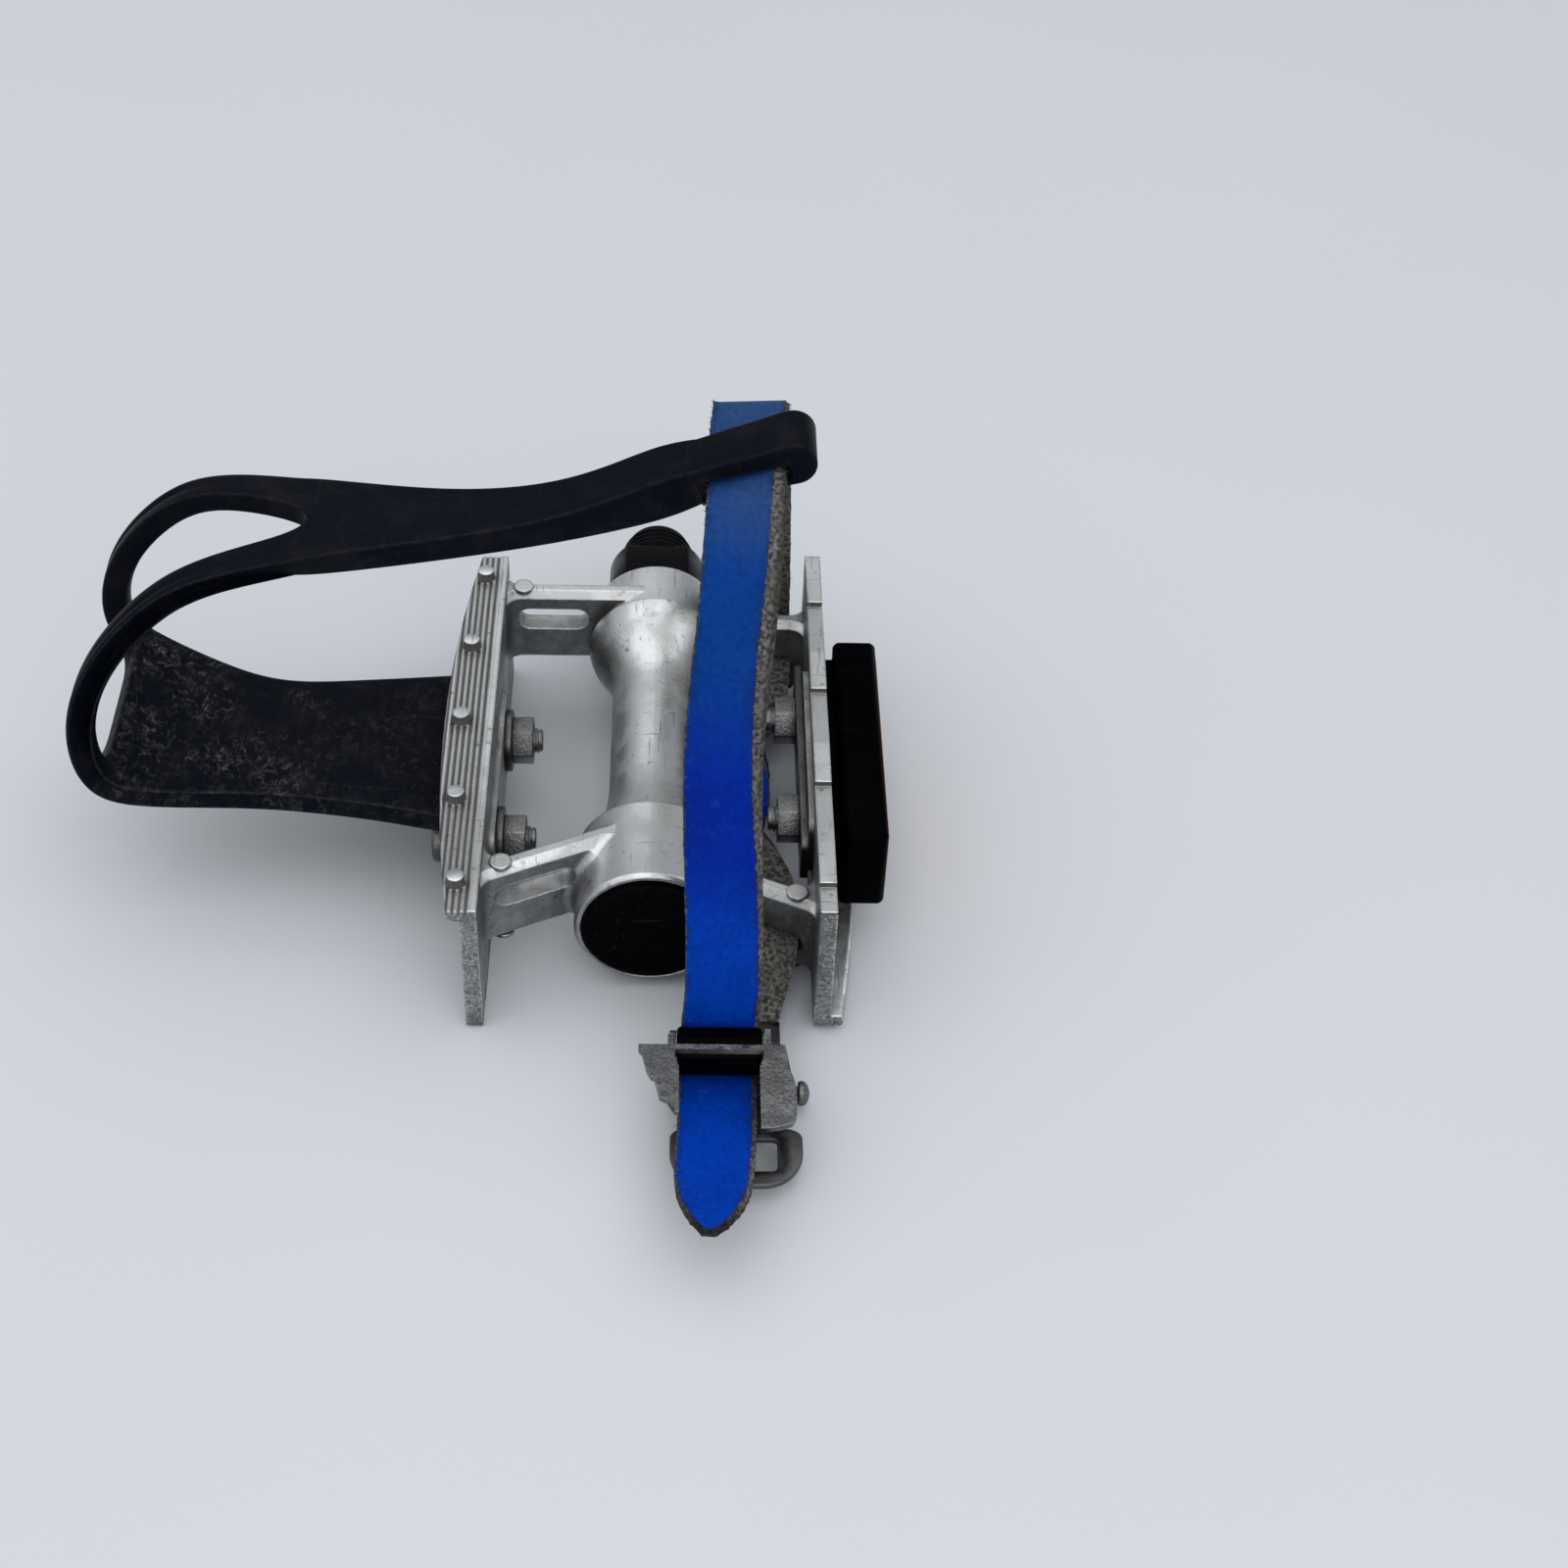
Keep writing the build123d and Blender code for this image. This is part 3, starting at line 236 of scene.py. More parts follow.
class PedalSizes(bpy.types.PropertyGroup):
    """Sizes of the dressed pieces."""

    clip_strip_width: FloatProperty(
        name="Clip strip width", description="Width of each strip round the toe", default=0.0049, unit="LENGTH")
    clip_strip_thick: FloatProperty(
        name="Clip strip thickness", description="Thickness of the clip's strips", default=0.0046, unit="LENGTH")
    clip_tongue_thick: FloatProperty(
        name="Clip tongue thickness", description="Thickness of the clip's tongue", default=0.0032, unit="LENGTH")
    strap_width: FloatProperty(
        name="Strap width", description="Width of the leather strap", default=0.0132, unit="LENGTH")
    strap_thick: FloatProperty(
        name="Strap thickness", description="Thickness of the leather strap", default=0.002, unit="LENGTH")
    strap_fray: FloatProperty(
        name="Strap fray", description="How far the strap's cut edges wander", default=0.0002, unit="LENGTH")
    strap_skive: FloatProperty(
        name="Strap skive", description="How far the bared edge is pared down", default=0.0008, unit="LENGTH")
    thread_pitch: FloatProperty(
        name="Spindle thread pitch", description="Pitch of the spindle's left-hand thread", default=0.00127,
        unit="LENGTH")
    bolt_pitch: FloatProperty(
        name="Bolt thread pitch", description="Pitch of the small bolts and studs", default=0.0008, unit="LENGTH")
    fold_round: FloatProperty(
        name="Sheet edge round", description="Rounding of sheet metal edges", default=0.00025, unit="LENGTH")
    floor_side: FloatProperty(name="Floor side", description="Side of the square floor", default=6.0, unit="LENGTH")
    lens_focal: FloatProperty(
        name="Focal length", description="Camera focal length in millimetres", default=57.73, subtype="UNSIGNED")


class PedalColours(bpy.types.PropertyGroup):
    """Colours of the finishes."""

    aluminium: FloatVectorProperty(
        name="Cast aluminium", description="Clean satin casting", default=(0.80, 0.815, 0.82), subtype="COLOR")
    # Grime colour, which also paints shade in corners, in tread grooves and on stud sides
    grime_and_shade: FloatVectorProperty(
        name="Grime", description="Old grease in corners", default=(0.045, 0.042, 0.038), subtype="COLOR")
    clip: FloatVectorProperty(
        name="Clip plastic", description="Moulded black plastic", default=(0.003, 0.004, 0.0085), subtype="COLOR")
    scuff: FloatVectorProperty(
        name="Scuffs", description="Dry scuffs on black plastic", default=(0.14, 0.137, 0.13), subtype="COLOR")
    strap: FloatVectorProperty(
        name="Strap coat", description="Coated face of the strap", default=(0.0004, 0.046, 0.44), subtype="COLOR")
    suede: FloatVectorProperty(
        name="Strap suede", description="Back and cut edges of the strap", default=(0.21, 0.205, 0.19),
        subtype="COLOR")
    zinc: FloatVectorProperty(
        name="Zinc plate", description="Dull zinc on nuts and buckle", default=(0.30, 0.305, 0.305), subtype="COLOR")
    black_steel: FloatVectorProperty(
        name="Black steel", description="Oxide-black spindle", default=(0.004, 0.004, 0.005), subtype="COLOR")
    amber: FloatVectorProperty(
        name="Amber lens", description="Reflector lens", default=(0.85, 0.22, 0.01), subtype="COLOR")
    floor: FloatVectorProperty(
        name="Floor", description="Pale floor", default=(0.70, 0.73, 0.775), subtype="COLOR")


def place(x, u, z):
    """Point in the frame from millimetres, with u along the cage."""
    return Vector((x, CAGE_MIDDLE + u, z)) * MM


def held(value):
    """Value held between 0 and 1."""
    return max(0.0, min(1.0, value))


# Shader nodes


def shade(colour, share):
    """Colour made darker or lighter."""
    return tuple(min(1.0, c * share) for c in colour)


def grey(level):
    """Neutral colour."""
    return (level, level, level)


class Net:
    """Shader nodes of one tree. What goes into a node is a plain value or another node's output."""

    def __init__(self, tree):
        self.tree = tree

    def plug(self, node, inputs):
        """Links sockets to a node's inputs and sets plain values on them."""
        for key, value in inputs.items():
            if isinstance(value, bpy.types.NodeSocket):
                self.tree.links.new(value, node.inputs[key])
            else:
                node.inputs[key].default_value = value

    def put(self, kind, inputs=None, **settings):
        """Adds a node."""
        node = self.tree.nodes.new(kind)
        for key, value in settings.items():
            setattr(node, key, value)
        self.plug(node, inputs or {})
        return node

    def calc(self, operation, first, second=0.0, clamp=True):
        """Sum on two values, held between 0 and 1 unless told otherwise."""
        return self.put("ShaderNodeMath", {0: first, 1: second}, operation=operation, use_clamp=clamp).outputs[0]

    def times(self, first, second, clamp=True):
        return self.calc("MULTIPLY", first, second, clamp)

    def plus(self, first, second, clamp=True):
        return self.calc("ADD", first, second, clamp)

    def minus(self, first, second, clamp=True):
        return self.calc("SUBTRACT", first, second, clamp)

    def largest(self, first, second):
        return self.calc("MAXIMUM", first, second)

    def size(self, value):
        return self.calc("ABSOLUTE", value, clamp=False)

    def remap(self, value, low, high, to_low=0.0, to_high=1.0):
        """Value carried smoothly from one range to another."""
        inputs = {"Value": value, "From Min": low, "From Max": high, "To Min": to_low, "To Max": to_high}
        return self.put("ShaderNodeMapRange", inputs, interpolation_type="SMOOTHSTEP").outputs["Result"]

    def tint(self, share, first, second):
        """Colour between two colours."""
        first, second = (c if isinstance(c, bpy.types.NodeSocket) else (*c, 1.0) for c in (first, second))
        return self.put("ShaderNodeMix", {0: share, 6: first, 7: second}, data_type="RGBA").outputs[2]

    def spot(self):
        """The piece's own coordinates."""
        return self.put("ShaderNodeTexCoord").outputs["Object"]

    def axes(self, vector):
        """X, Y and Z of a vector."""
        return self.put("ShaderNodeSeparateXYZ", {0: vector}).outputs

    def facing(self):
        """X, Y and Z of the surface's normal."""
        return self.axes(self.put("ShaderNodeNewGeometry").outputs["Normal"])

    def attribute(self, name):
        """Value stored on the mesh."""
        return self.put("ShaderNodeAttribute", attribute_name=name).outputs["Fac"]

    def turned(self, turn, stretch=(1.0, 1.0, 1.0)):
        """The piece's own coordinates, turned and stretched."""
        return self.put("ShaderNodeMapping", {"Vector": self.spot(), "Scale": stretch, "Rotation": turn}).outputs[0]

    def noise(self, vector, scale, detail):
        """Noise at a vector."""
        return self.put("ShaderNodeTexNoise", {"Vector": vector, "Scale": scale, "Detail": detail}).outputs["Fac"]

    def speckle(self, scale, detail=3.0, stretch=None, turn=0.0):
        """Noise on the piece's own coordinates."""
        return self.noise(self.turned((0.0, 0.0, turn), stretch) if stretch else self.spot(), scale, detail)

    def cells(self, scale, **settings):
        """Distance to the nearest of scattered points, on the piece's own coordinates."""
        return self.put("ShaderNodeTexVoronoi", {"Vector": self.spot(), "Scale": scale}, **settings)

    def group(self, name, **values):
        """Places a shared group with its own values."""
        return self.put("ShaderNodeGroup", values, node_tree=bpy.data.node_groups[name]).outputs


class Shared(Net):
    """Shader group with named values going in and coming out."""

    def __init__(self, name, inputs, outputs):
        super().__init__(bpy.data.node_groups.new(name, "ShaderNodeTree"))
        sockets = self.tree.interface
        for label, value in inputs.items():
            sockets.new_socket(name=label, in_out="INPUT", socket_type="NodeSocketFloat").default_value = value
        for label in outputs:
            kind = "NodeSocketVector" if label == "Normal" else "NodeSocketFloat"
            sockets.new_socket(name=label, in_out="OUTPUT", socket_type=kind)
        self.given = self.put("NodeGroupInput").outputs
        self.result = self.put("NodeGroupOutput")

    def give(self, **outputs):
        """Links what the group gives back."""
        self.plug(self.result, outputs)


class Finish(Net):
    """New material, built round its Principled shader."""

    def __init__(self, name):
        self.material = bpy.data.materials.new(name)
        self.material.use_nodes = True
        super().__init__(self.material.node_tree)
        self.shader = self.tree.nodes["Principled BSDF"]

    def feed(self, **inputs):
        """Links or sets the shader's inputs by name, with underscores for spaces."""
        self.plug(self.shader, {label.replace("_", " "): value for label, value in inputs.items()})

    def roughen(self, height, distance, strength=1.0, normal=None):
        """Bump from a height, in metres, on top of a normal."""
        inputs = {"Height": height, "Distance": distance, "Strength": strength}
        if normal:
            inputs["Normal"] = normal
        self.feed(Normal=self.put("ShaderNodeBump", inputs).outputs[0])


def make_edge_group():
    """Edges for wear and painted highlight, corners for grime and painted shade, from a rounded normal and nearby
    shade.
    """
    net = Shared("Edges and Corners", {"Round": 0.0006, "Reach": 0.004}, ("Edge", "Corner", "Normal"))
    rounded = net.put("ShaderNodeBevel", {"Radius": net.given["Round"]}, samples=6).outputs[0]
    flat = net.put("ShaderNodeNewGeometry").outputs["Normal"]
    agree = net.put("ShaderNodeVectorMath", {0: rounded, 1: flat}, operation="DOT_PRODUCT").outputs["Value"]
    open_sky = net.put("ShaderNodeAmbientOcclusion", {"Distance": net.given["Reach"]}, samples=6).outputs["AO"]
    broken = net.remap(net.speckle(700.0), 0.35, 0.6, 0.35, 1.0)
    edge = net.times(net.remap(agree, 0.99, 0.9), net.remap(open_sky, 0.45, 0.75))
    smear = net.remap(net.speckle(260.0, 5.0), 0.3, 0.62, 0.25, 1.0)
    net.give(Edge=net.times(edge, broken), Corner=net.times(net.remap(open_sky, 0.72, 0.2), smear), Normal=rounded)


def make_scratch_group():
    """Fine straight scratches in two directions."""
    net = Shared("Scratches", {"Scale": 60.0, "Depth": 1.0}, ("Lines",))
    found = []
    for turn, stretch in ((0.7, (1.0, 26.0, 9.0)), (-0.5, (22.0, 1.0, 12.0))):
        streaks = net.noise(net.turned((0.3, 0.2, turn), stretch), net.given["Scale"], 2.0)
        found.append(net.remap(streaks, 0.66, 0.72))
    net.give(Lines=net.times(net.largest(*found), net.given["Depth"]))


def make_grain_group():
    """Fine surface grain with scattered pits."""
    net = Shared("Grain", {"Scale": 2600.0, "Pits": 0.5}, ("Height", "Pit"))
    fine = net.noise(net.spot(), net.given["Scale"], 3.0)
    cells = net.cells(net.times(net.given["Scale"], 0.22, clamp=False)).outputs["Distance"]
    gate = net.remap(net.speckle(320.0), 0.5, 0.66)
    pit = net.times(net.times(net.remap(cells, 0.26, 0.12), gate), net.given["Pits"])
    net.give(Pit=pit, Height=net.minus(fine, pit))


def tread_masks(net):
    """Grooves of the cage's tread, the rough ends of its plates, and its studs."""
    first, pitch, base, top = TREAD
    x, y, z = net.axes(net.spot())
    away = net.calc("PINGPONG", net.minus(first, x, clamp=False), pitch / 2, clamp=False)
    level = net.times(net.remap(z, base, base + 0.0002), net.remap(z, top, top - 0.0001))
    groove = net.times(net.remap(away, 0.34 * pitch, 0.14 * pitch), level)
    groove = net.times(groove, net.remap(x, first + pitch, first + 0.6 * pitch))
    ends = net.times(net.remap(net.facing()["Y"], -0.6, -0.85), net.remap(y, *PLATE_END_Y))
    ends = net.times(ends, net.remap(net.size(x), *PLATE_END_X))
    return groove, ends, net.remap(z, top, top + 0.00005)


def metal_finish(name, clean, dull, grime_and_shade, rough, grain, pits, darkening=1.0, edge_round=0.0006, mottle=0.25, tread=False,
                 edge=None, scored=0.5, dents=0.0, reach=0.005, side_shade=None):
    """Metal with blotches, scratches, edges lightened by wear and painted highlight, and grime and painted shade in
    its corners. Steep sides take a painted side shade, which a tread also needs.
    """
    net = Finish(name)
    wear = net.group("Edges and Corners", Round=edge_round, Reach=reach)
    lines = net.group("Scratches", Scale=70.0)["Lines"]
    fine = net.group("Grain", Scale=grain, Pits=pits)
    blotch = net.remap(net.speckle(150.0, 6.0), 0.38, 0.66)
    cast = net.remap(net.speckle(2000.0, 5.0), 0.3, 0.7)
    # Corners found by nearby shade are darkened with grime and painted shade.
    shade_and_grime_mask = net.times(wear["Corner"], darkening)
    rugged = mottle
    edge_wear_and_highlight = wear["Edge"]
    colour = net.tint(net.times(blotch, 0.7), clean, dull)
    # Painted shade: upright faces are tinted toward the side shade colour.
    if side_shade:
        sides = net.remap(net.size(net.facing()["Z"]), 0.62, 0.12)
        streak = net.remap(net.speckle(420.0, 8.0), 0.3, 0.7, 0.84, 1.0)
        colour = net.tint(net.times(net.times(sides, streak), 0.9), colour, side_shade)
    if tread:
        # Tread grooves are darkened with grime and painted shade; stud sides get painted shade and lose their painted
        # edge highlight.
        groove, ends, studs = tread_masks(net)
        shade_and_grime_mask = net.largest(shade_and_grime_mask, net.times(groove, 0.85))
        patchy = net.remap(net.speckle(480.0, 6.0), 0.36, 0.64, 0.3, 1.0)
        rugged = net.times(net.remap(ends, 0.0, 1.0, mottle, 0.8), patchy)
        stud_side_shade = net.times(studs, sides)
        shade_and_grime_mask = net.largest(shade_and_grime_mask, net.times(stud_side_shade, 0.7))
        edge_wear_and_highlight = net.times(edge_wear_and_highlight, net.remap(stud_side_shade, 0.0, 0.3, 1.0, 0.1))
    # Edges are lightened, partly as wear and partly as a painted highlight.
    colour = net.tint(net.times(edge_wear_and_highlight, 0.75), colour, edge or shade(clean, 1.2))
    colour = net.tint(net.times(lines, scored), colour, shade(dull, 0.45))
    colour = net.tint(net.times(fine["Pit"], 0.85), colour, grime_and_shade)
    hollow = net.times(net.remap(cast, 0.55, 0.1), rugged)
    colour = net.tint(net.times(hollow, 0.75), colour, grime_and_shade)
    proud = net.times(net.remap(cast, 0.6, 0.95), rugged)
    colour = net.tint(net.times(proud, 0.6), colour, clean)
    colour = net.tint(shade_and_grime_mask, colour, grime_and_shade)
    gloss = net.remap(blotch, 0.0, 1.0, rough - 0.06, rough + 0.1)
    gloss = net.minus(gloss, net.times(edge_wear_and_highlight, 0.16))
    gloss = net.plus(gloss, net.times(shade_and_grime_mask, 0.35))
    net.feed(Base_Color=colour, Roughness=gloss, Metallic=net.remap(shade_and_grime_mask, 0.0, 1.0, 1.0, 0.35))
    height = net.times(cast, rugged)
    height = net.plus(height, net.times(fine["Height"], 0.3), clamp=False)
    height = net.minus(height, net.times(lines, 0.6 * scored), clamp=False)
    if dents:
        height = net.plus(height, net.times(net.speckle(260.0, 2.0), dents, clamp=False), clamp=False)
    net.roughen(height, 0.00014, 0.7, wear["Normal"])
    return net.material


def plastic_finish(name, colour, scuff, rough, grain, scuffed, shine=0.12):
    """Moulded plastic with a fine grain, dull patches and dry scuffs on its edges."""
    net = Finish(name)
    wear = net.group("Edges and Corners", Round=0.0007, Reach=0.004)
    lines = net.group("Scratches", Scale=55.0)["Lines"]
    fine = net.group("Grain", Scale=grain, Pits=0.2)
    dust = net.remap(net.speckle(90.0, 6.0), 0.5, 0.8)
    marks = net.plus(net.times(wear["Edge"], 0.2), net.times(lines, 0.22))
    marks = net.times(net.plus(marks, net.times(dust, 0.05)), scuffed)
    net.feed(Base_Color=net.tint(marks, colour, scuff), Specular_IOR_Level=shine,
             Roughness=net.remap(net.plus(dust, marks), 0.0, 1.0, rough, rough + 0.2))
    net.roughen(fine["Height"], 0.00004, 0.5, wear["Normal"])
    return net.material


def clip_finish(colours):
    """Moulded clip: dull black strips, and a tongue with a shallow diamond pattern under dry scuffs."""
    net = Finish("clip plastic")
    wear = net.group("Edges and Corners", Round=0.0009, Reach=0.004)
    lines = net.group("Scratches", Scale=45.0)["Lines"]
    fine = net.group("Grain", Scale=3000.0, Pits=0.2)
    tread = net.attribute("tread")
    toward_toe = net.remap(net.axes(net.spot())["X"], -0.052, -0.078, 0.22, 1.0)
    heavy = net.remap(net.speckle(75.0, 7.0), 0.36, 0.66)
    contour = net.minus(net.speckle(420.0, 3.0, (1.0, 0.55, 1.0), 0.5), 0.5, clamp=False)
    wisps = net.times(net.remap(net.size(contour), 0.05, 0.0), net.remap(net.speckle(700.0, 4.0), 0.42, 0.62))
    smear = net.remap(net.speckle(480.0, 8.0, (1.0, 0.6, 1.0), 0.5), 0.45, 0.72, 0.0, 0.7)
    wisps = net.largest(wisps, net.times(smear, net.remap(net.speckle(1500.0, 6.0), 0.4, 0.6)))
    scuffs = net.times(net.times(heavy, wisps), net.times(tread, toward_toe))
    haze = net.times(net.remap(net.speckle(130.0, 6.0), 0.45, 0.75), 0.04)
    # Edges are lightened toward the scuff colour, partly as dry scuffs and partly as a painted highlight.
    marks = net.plus(net.times(wear["Edge"], 0.14), net.times(lines, 0.03))
    marks = net.plus(net.plus(marks, haze), net.times(scuffs, 0.7))
    net.feed(Base_Color=net.tint(marks, colours.clip, colours.scuff), Specular_IOR_Level=0.04,
             Roughness=net.remap(marks, 0.0, 0.5, 0.42, 0.8))
    waves = []
    for turn in (0.785, -0.785):
        inputs = {"Vector": net.turned((0.0, 0.0, turn)), "Scale": 110.0}
        waves.append(net.put("ShaderNodeTexWave", inputs, wave_profile="TRI").outputs["Fac"])
    knurl = net.times(net.times(*waves), tread)
    height = net.plus(net.times(fine["Height"], 0.3), net.times(knurl, 0.6))
    height = net.plus(height, net.times(scuffs, 0.3), clamp=False)
    net.roughen(height, 0.0002, 0.8)
    return net.material


def strap_finish(colours, creases):
    """Coated leather: blue grained face with pressed creases, and bare suede on the back and the cuts."""
    net = Finish("blue leather")
    coat, trim, along, across = (net.attribute(name) for name in ("coat", "trim", "along", "across"))
    left = net.remap(across, -0.8, -0.9)
    _, y, z = net.axes(net.spot())
    fray = net.remap(net.speckle(1100.0, 7.0), 0.25, 0.75, -0.035, 0.035)
    fray = net.times(fray, net.remap(left, 0.0, 1.0, 1.0, 0.4), clamp=False)
    rim = net.plus(trim, fray, clamp=False)
    bare = net.largest(net.remap(rim, -0.01, 0.015), net.remap(coat, 0.97, 0.9))
    wander = net.remap(net.speckle(120.0, 2.0), 0.3, 0.7, -0.0007, 0.0007)
    way = net.plus(along, wander, clamp=False)
    folds = 0.0
    for centre, reach, depth in creases:
        gap = net.size(net.minus(way, centre, clamp=False))
        folds = net.largest(net.remap(gap, reach, 0.0, 0.0, depth), folds)
    grain = net.cells(1700.0).outputs["Distance"]
    fibres = net.speckle(1350.0, 6.0)
    patch = net.remap(net.speckle(110.0, 6.0), 0.35, 0.7)
    rubbed = net.times(net.remap(net.speckle(520.0, 6.0), 0.55, 0.72), 0.3)
    blue = colours.strap
    # Painted light and shade: the blue is brightest low down, darker in the middle and greyer at the top.
    for low, high, painted_light_blue in STRAP_PAINTED_LIGHT:
        blue = net.tint(net.remap(z, low, high), blue, painted_light_blue)
    blue = net.tint(net.times(patch, 0.6), blue, net.tint(0.3, blue, (0.0, 0.0, 0.02)))
    mottle = net.remap(net.speckle(950.0, 8.0), 0.4, 0.68, 0.0, 0.45)
    blue = net.tint(mottle, blue, net.tint(0.5, blue, (0.0, 0.006, 0.07)))
    blue = net.tint(net.times(rubbed, patch), blue, (0.02, 0.12, 0.42))
    # Creases are darkened as painted shade, on top of their bump.
    blue = net.tint(net.times(folds, 0.14), blue, shade(colours.strap, 0.4))
    # Dirt: dark smudges on the coat near where it ends at the cut edge.
    darkening = net.times(net.remap(trim, -0.16, 0.0), net.remap(net.speckle(380.0, 6.0), 0.4, 0.62))
    blue = net.tint(net.times(darkening, 0.55), blue, (0.012, 0.022, 0.05))
    suede = net.tint(net.remap(fibres, 0.34, 0.68), shade(colours.suede, 0.16), colours.suede)
    suede = net.tint(net.times(patch, 0.55), suede, shade(colours.suede, 0.35))
    # The suede darkens toward the cut edge as painted shade.
    suede = net.tint(net.remap(trim, 0.16, 0.3, 0.0, 0.55), suede, shade(colours.suede, 0.14))
    # Bare leather is darkened along the left rim, and at the tip as painted shade.
    dark_tip_and_left_rim = net.largest(net.times(left, 0.6), net.remap(y, *STRAP_SHADED_TIP))
    suede = net.tint(net.times(dark_tip_and_left_rim, 0.85), suede, (0.013, 0.014, 0.017))
    net.feed(Base_Color=net.tint(bare, blue, suede), Specular_IOR_Level=0.035,
             Roughness=net.remap(bare, 0.0, 1.0, 0.5, 0.95))
    height = net.plus(net.times(grain, 0.22), net.times(fibres, bare), clamp=False)
    height = net.minus(height, net.times(folds, 0.45), clamp=False)
    net.roughen(height, 0.0002, 0.8)
    return net.material


def lens_finish(colours):
    """Amber lens over small corner prisms."""
    net = Finish("amber lens")
    prisms = net.cells(520.0, distance="CHEBYCHEV")
    prisms.inputs["Randomness"].default_value = 0.0
    depth = prisms.outputs["Distance"]
    dust = net.remap(net.speckle(160.0, 6.0), 0.5, 0.72, 0.0, 0.25)
    amber = net.tint(net.remap(depth, 0.1, 0.5), colours.amber, shade(colours.amber, 0.45))
    net.feed(Base_Color=net.tint(dust, amber, (0.25, 0.23, 0.2)), Roughness=net.remap(dust, 0.0, 0.25, 0.2, 0.5),
             Coat_Weight=0.8, Coat_Roughness=0.08)
    net.roughen(depth, 0.0005, 0.8)
    return net.material


# Pieces


def settle(bm, *steps):
    """Mesh after modifiers, as a new bmesh."""
    mesh = bpy.data.meshes.new("settling")
    bm.to_mesh(mesh)
    bm.free()
    rough = bpy.data.objects.new("settling", mesh)
    bpy.context.scene.collection.objects.link(rough)
    for kind, settings in steps:
        if settings.get("vertex_group"):
            shares = [item.value for item in mesh.attributes[settings["vertex_group"]].data]
            members = rough.vertex_groups.new(name=settings["vertex_group"])
            for index, share in enumerate(shares):
                members.add([index], share, "REPLACE")
        modifier = rough.modifiers.new(kind.title(), kind)
        for key, value in settings.items():
            setattr(modifier, key, value)
    shaped = bpy.data.meshes.new_from_object(rough.evaluated_get(bpy.context.evaluated_depsgraph_get()))
    settled = bmesh.new()
    settled.from_mesh(shaped)
    bpy.data.objects.remove(rough)
    for spent in (mesh, shaped):
        bpy.data.meshes.remove(spent)
    return settled


def finish_piece(bm, name, body, slot, material, *nodes, sharp=35.0):
    """Turns a bmesh into a smooth-shaded piece that rides on a body and stands for CAD nodes."""
    mesh = bpy.data.meshes.new(name)
    bm.to_mesh(mesh)
    bm.free()
    mesh.shade_smooth()
    mesh.set_sharp_from_angle(angle=radians(sharp))
    mesh.materials.append(material)
    piece = bpy.data.objects.new(name, mesh)
    bpy.context.scene.collection.objects.link(piece)
    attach(piece, body)
    if nodes:
        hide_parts(*nodes)
    return piece


def merged_copy(node):
    """Bmesh of a CAD node with its loose triangles joined and its flat faces made whole."""
    bm = bmesh.new()
    bm.from_mesh(NODES[node].data)
    bmesh.ops.remove_doubles(bm, verts=bm.verts, dist=1e-6)
    bmesh.ops.dissolve_limit(bm, angle_limit=radians(1.0), verts=bm.verts, edges=bm.edges)
    return bm


def round_edges(bm, edges, size, segments, clamp=False):
    """Rounds edges."""
    bmesh.ops.bevel(bm, geom=edges, offset=size, offset_type="OFFSET", affect="EDGES", segments=segments, profile=0.5,
                    material=-1, clamp_overlap=clamp)


def soften(bm, size, angle, segments=2):
    """Rounds the edges that are sharper than an angle."""
    hard = [e for e in bm.edges if e.is_manifold and e.calc_face_angle() > radians(angle)]
    round_edges(bm, hard, size, segments, clamp=True)
    return bm


def block(size, axis):
    """Box of a size in millimetres about the origin, and its edges along an axis."""
    bm = bmesh.new()
    bmesh.ops.create_cube(bm, size=1.0)
    bmesh.ops.scale(bm, vec=Vector(size) * MM, verts=bm.verts)
    return bm, [e for e in bm.edges if abs(e.verts[0].co[axis] - e.verts[1].co[axis]) > 1e-4]


def add_disc(bm, matrix, radius, depth, segments):
    """Adds a short cylinder."""
    bmesh.ops.create_cone(bm, cap_ends=True, segments=segments, radius1=radius, radius2=radius, depth=depth,
                          matrix=matrix)


def start_row(bm, count):
    """New row of vertices joined by edges."""
    row = [bm.verts.new() for _ in range(count)]
    for pair in zip(row, row[1:]):
        bm.edges.new(pair)
    return row


def extend(bm, row):
    """Extrudes a row of vertices and gives back the new row in the same order."""
    made = bmesh.ops.extrude_edge_only(bm, edges=[bm.edges.get(pair) for pair in zip(row, row[1:])])["geom"]
    fresh = {v for v in made if isinstance(v, bmesh.types.BMVert)}
    return [next(e.other_vert(v) for e in v.link_edges if e.other_vert(v) in fresh) for v in row]


def lathe(bm, profile, steps=96):
    """Turns a closed profile of radius and u about the spindle."""
    ring = [bm.verts.new(place(radius, u, 0.0)) for radius, u in profile]
    edges = [bm.edges.new(pair) for pair in zip(ring, ring[1:] + ring[:1])]
    bmesh.ops.spin(bm, geom=ring + edges, cent=(0, 0, 0), axis=(0, 1, 0), angle=2 * pi, steps=steps, use_merge=True)
    bmesh.ops.remove_doubles(bm, verts=bm.verts, dist=1e-7)
    bmesh.ops.recalc_face_normals(bm, faces=bm.faces)


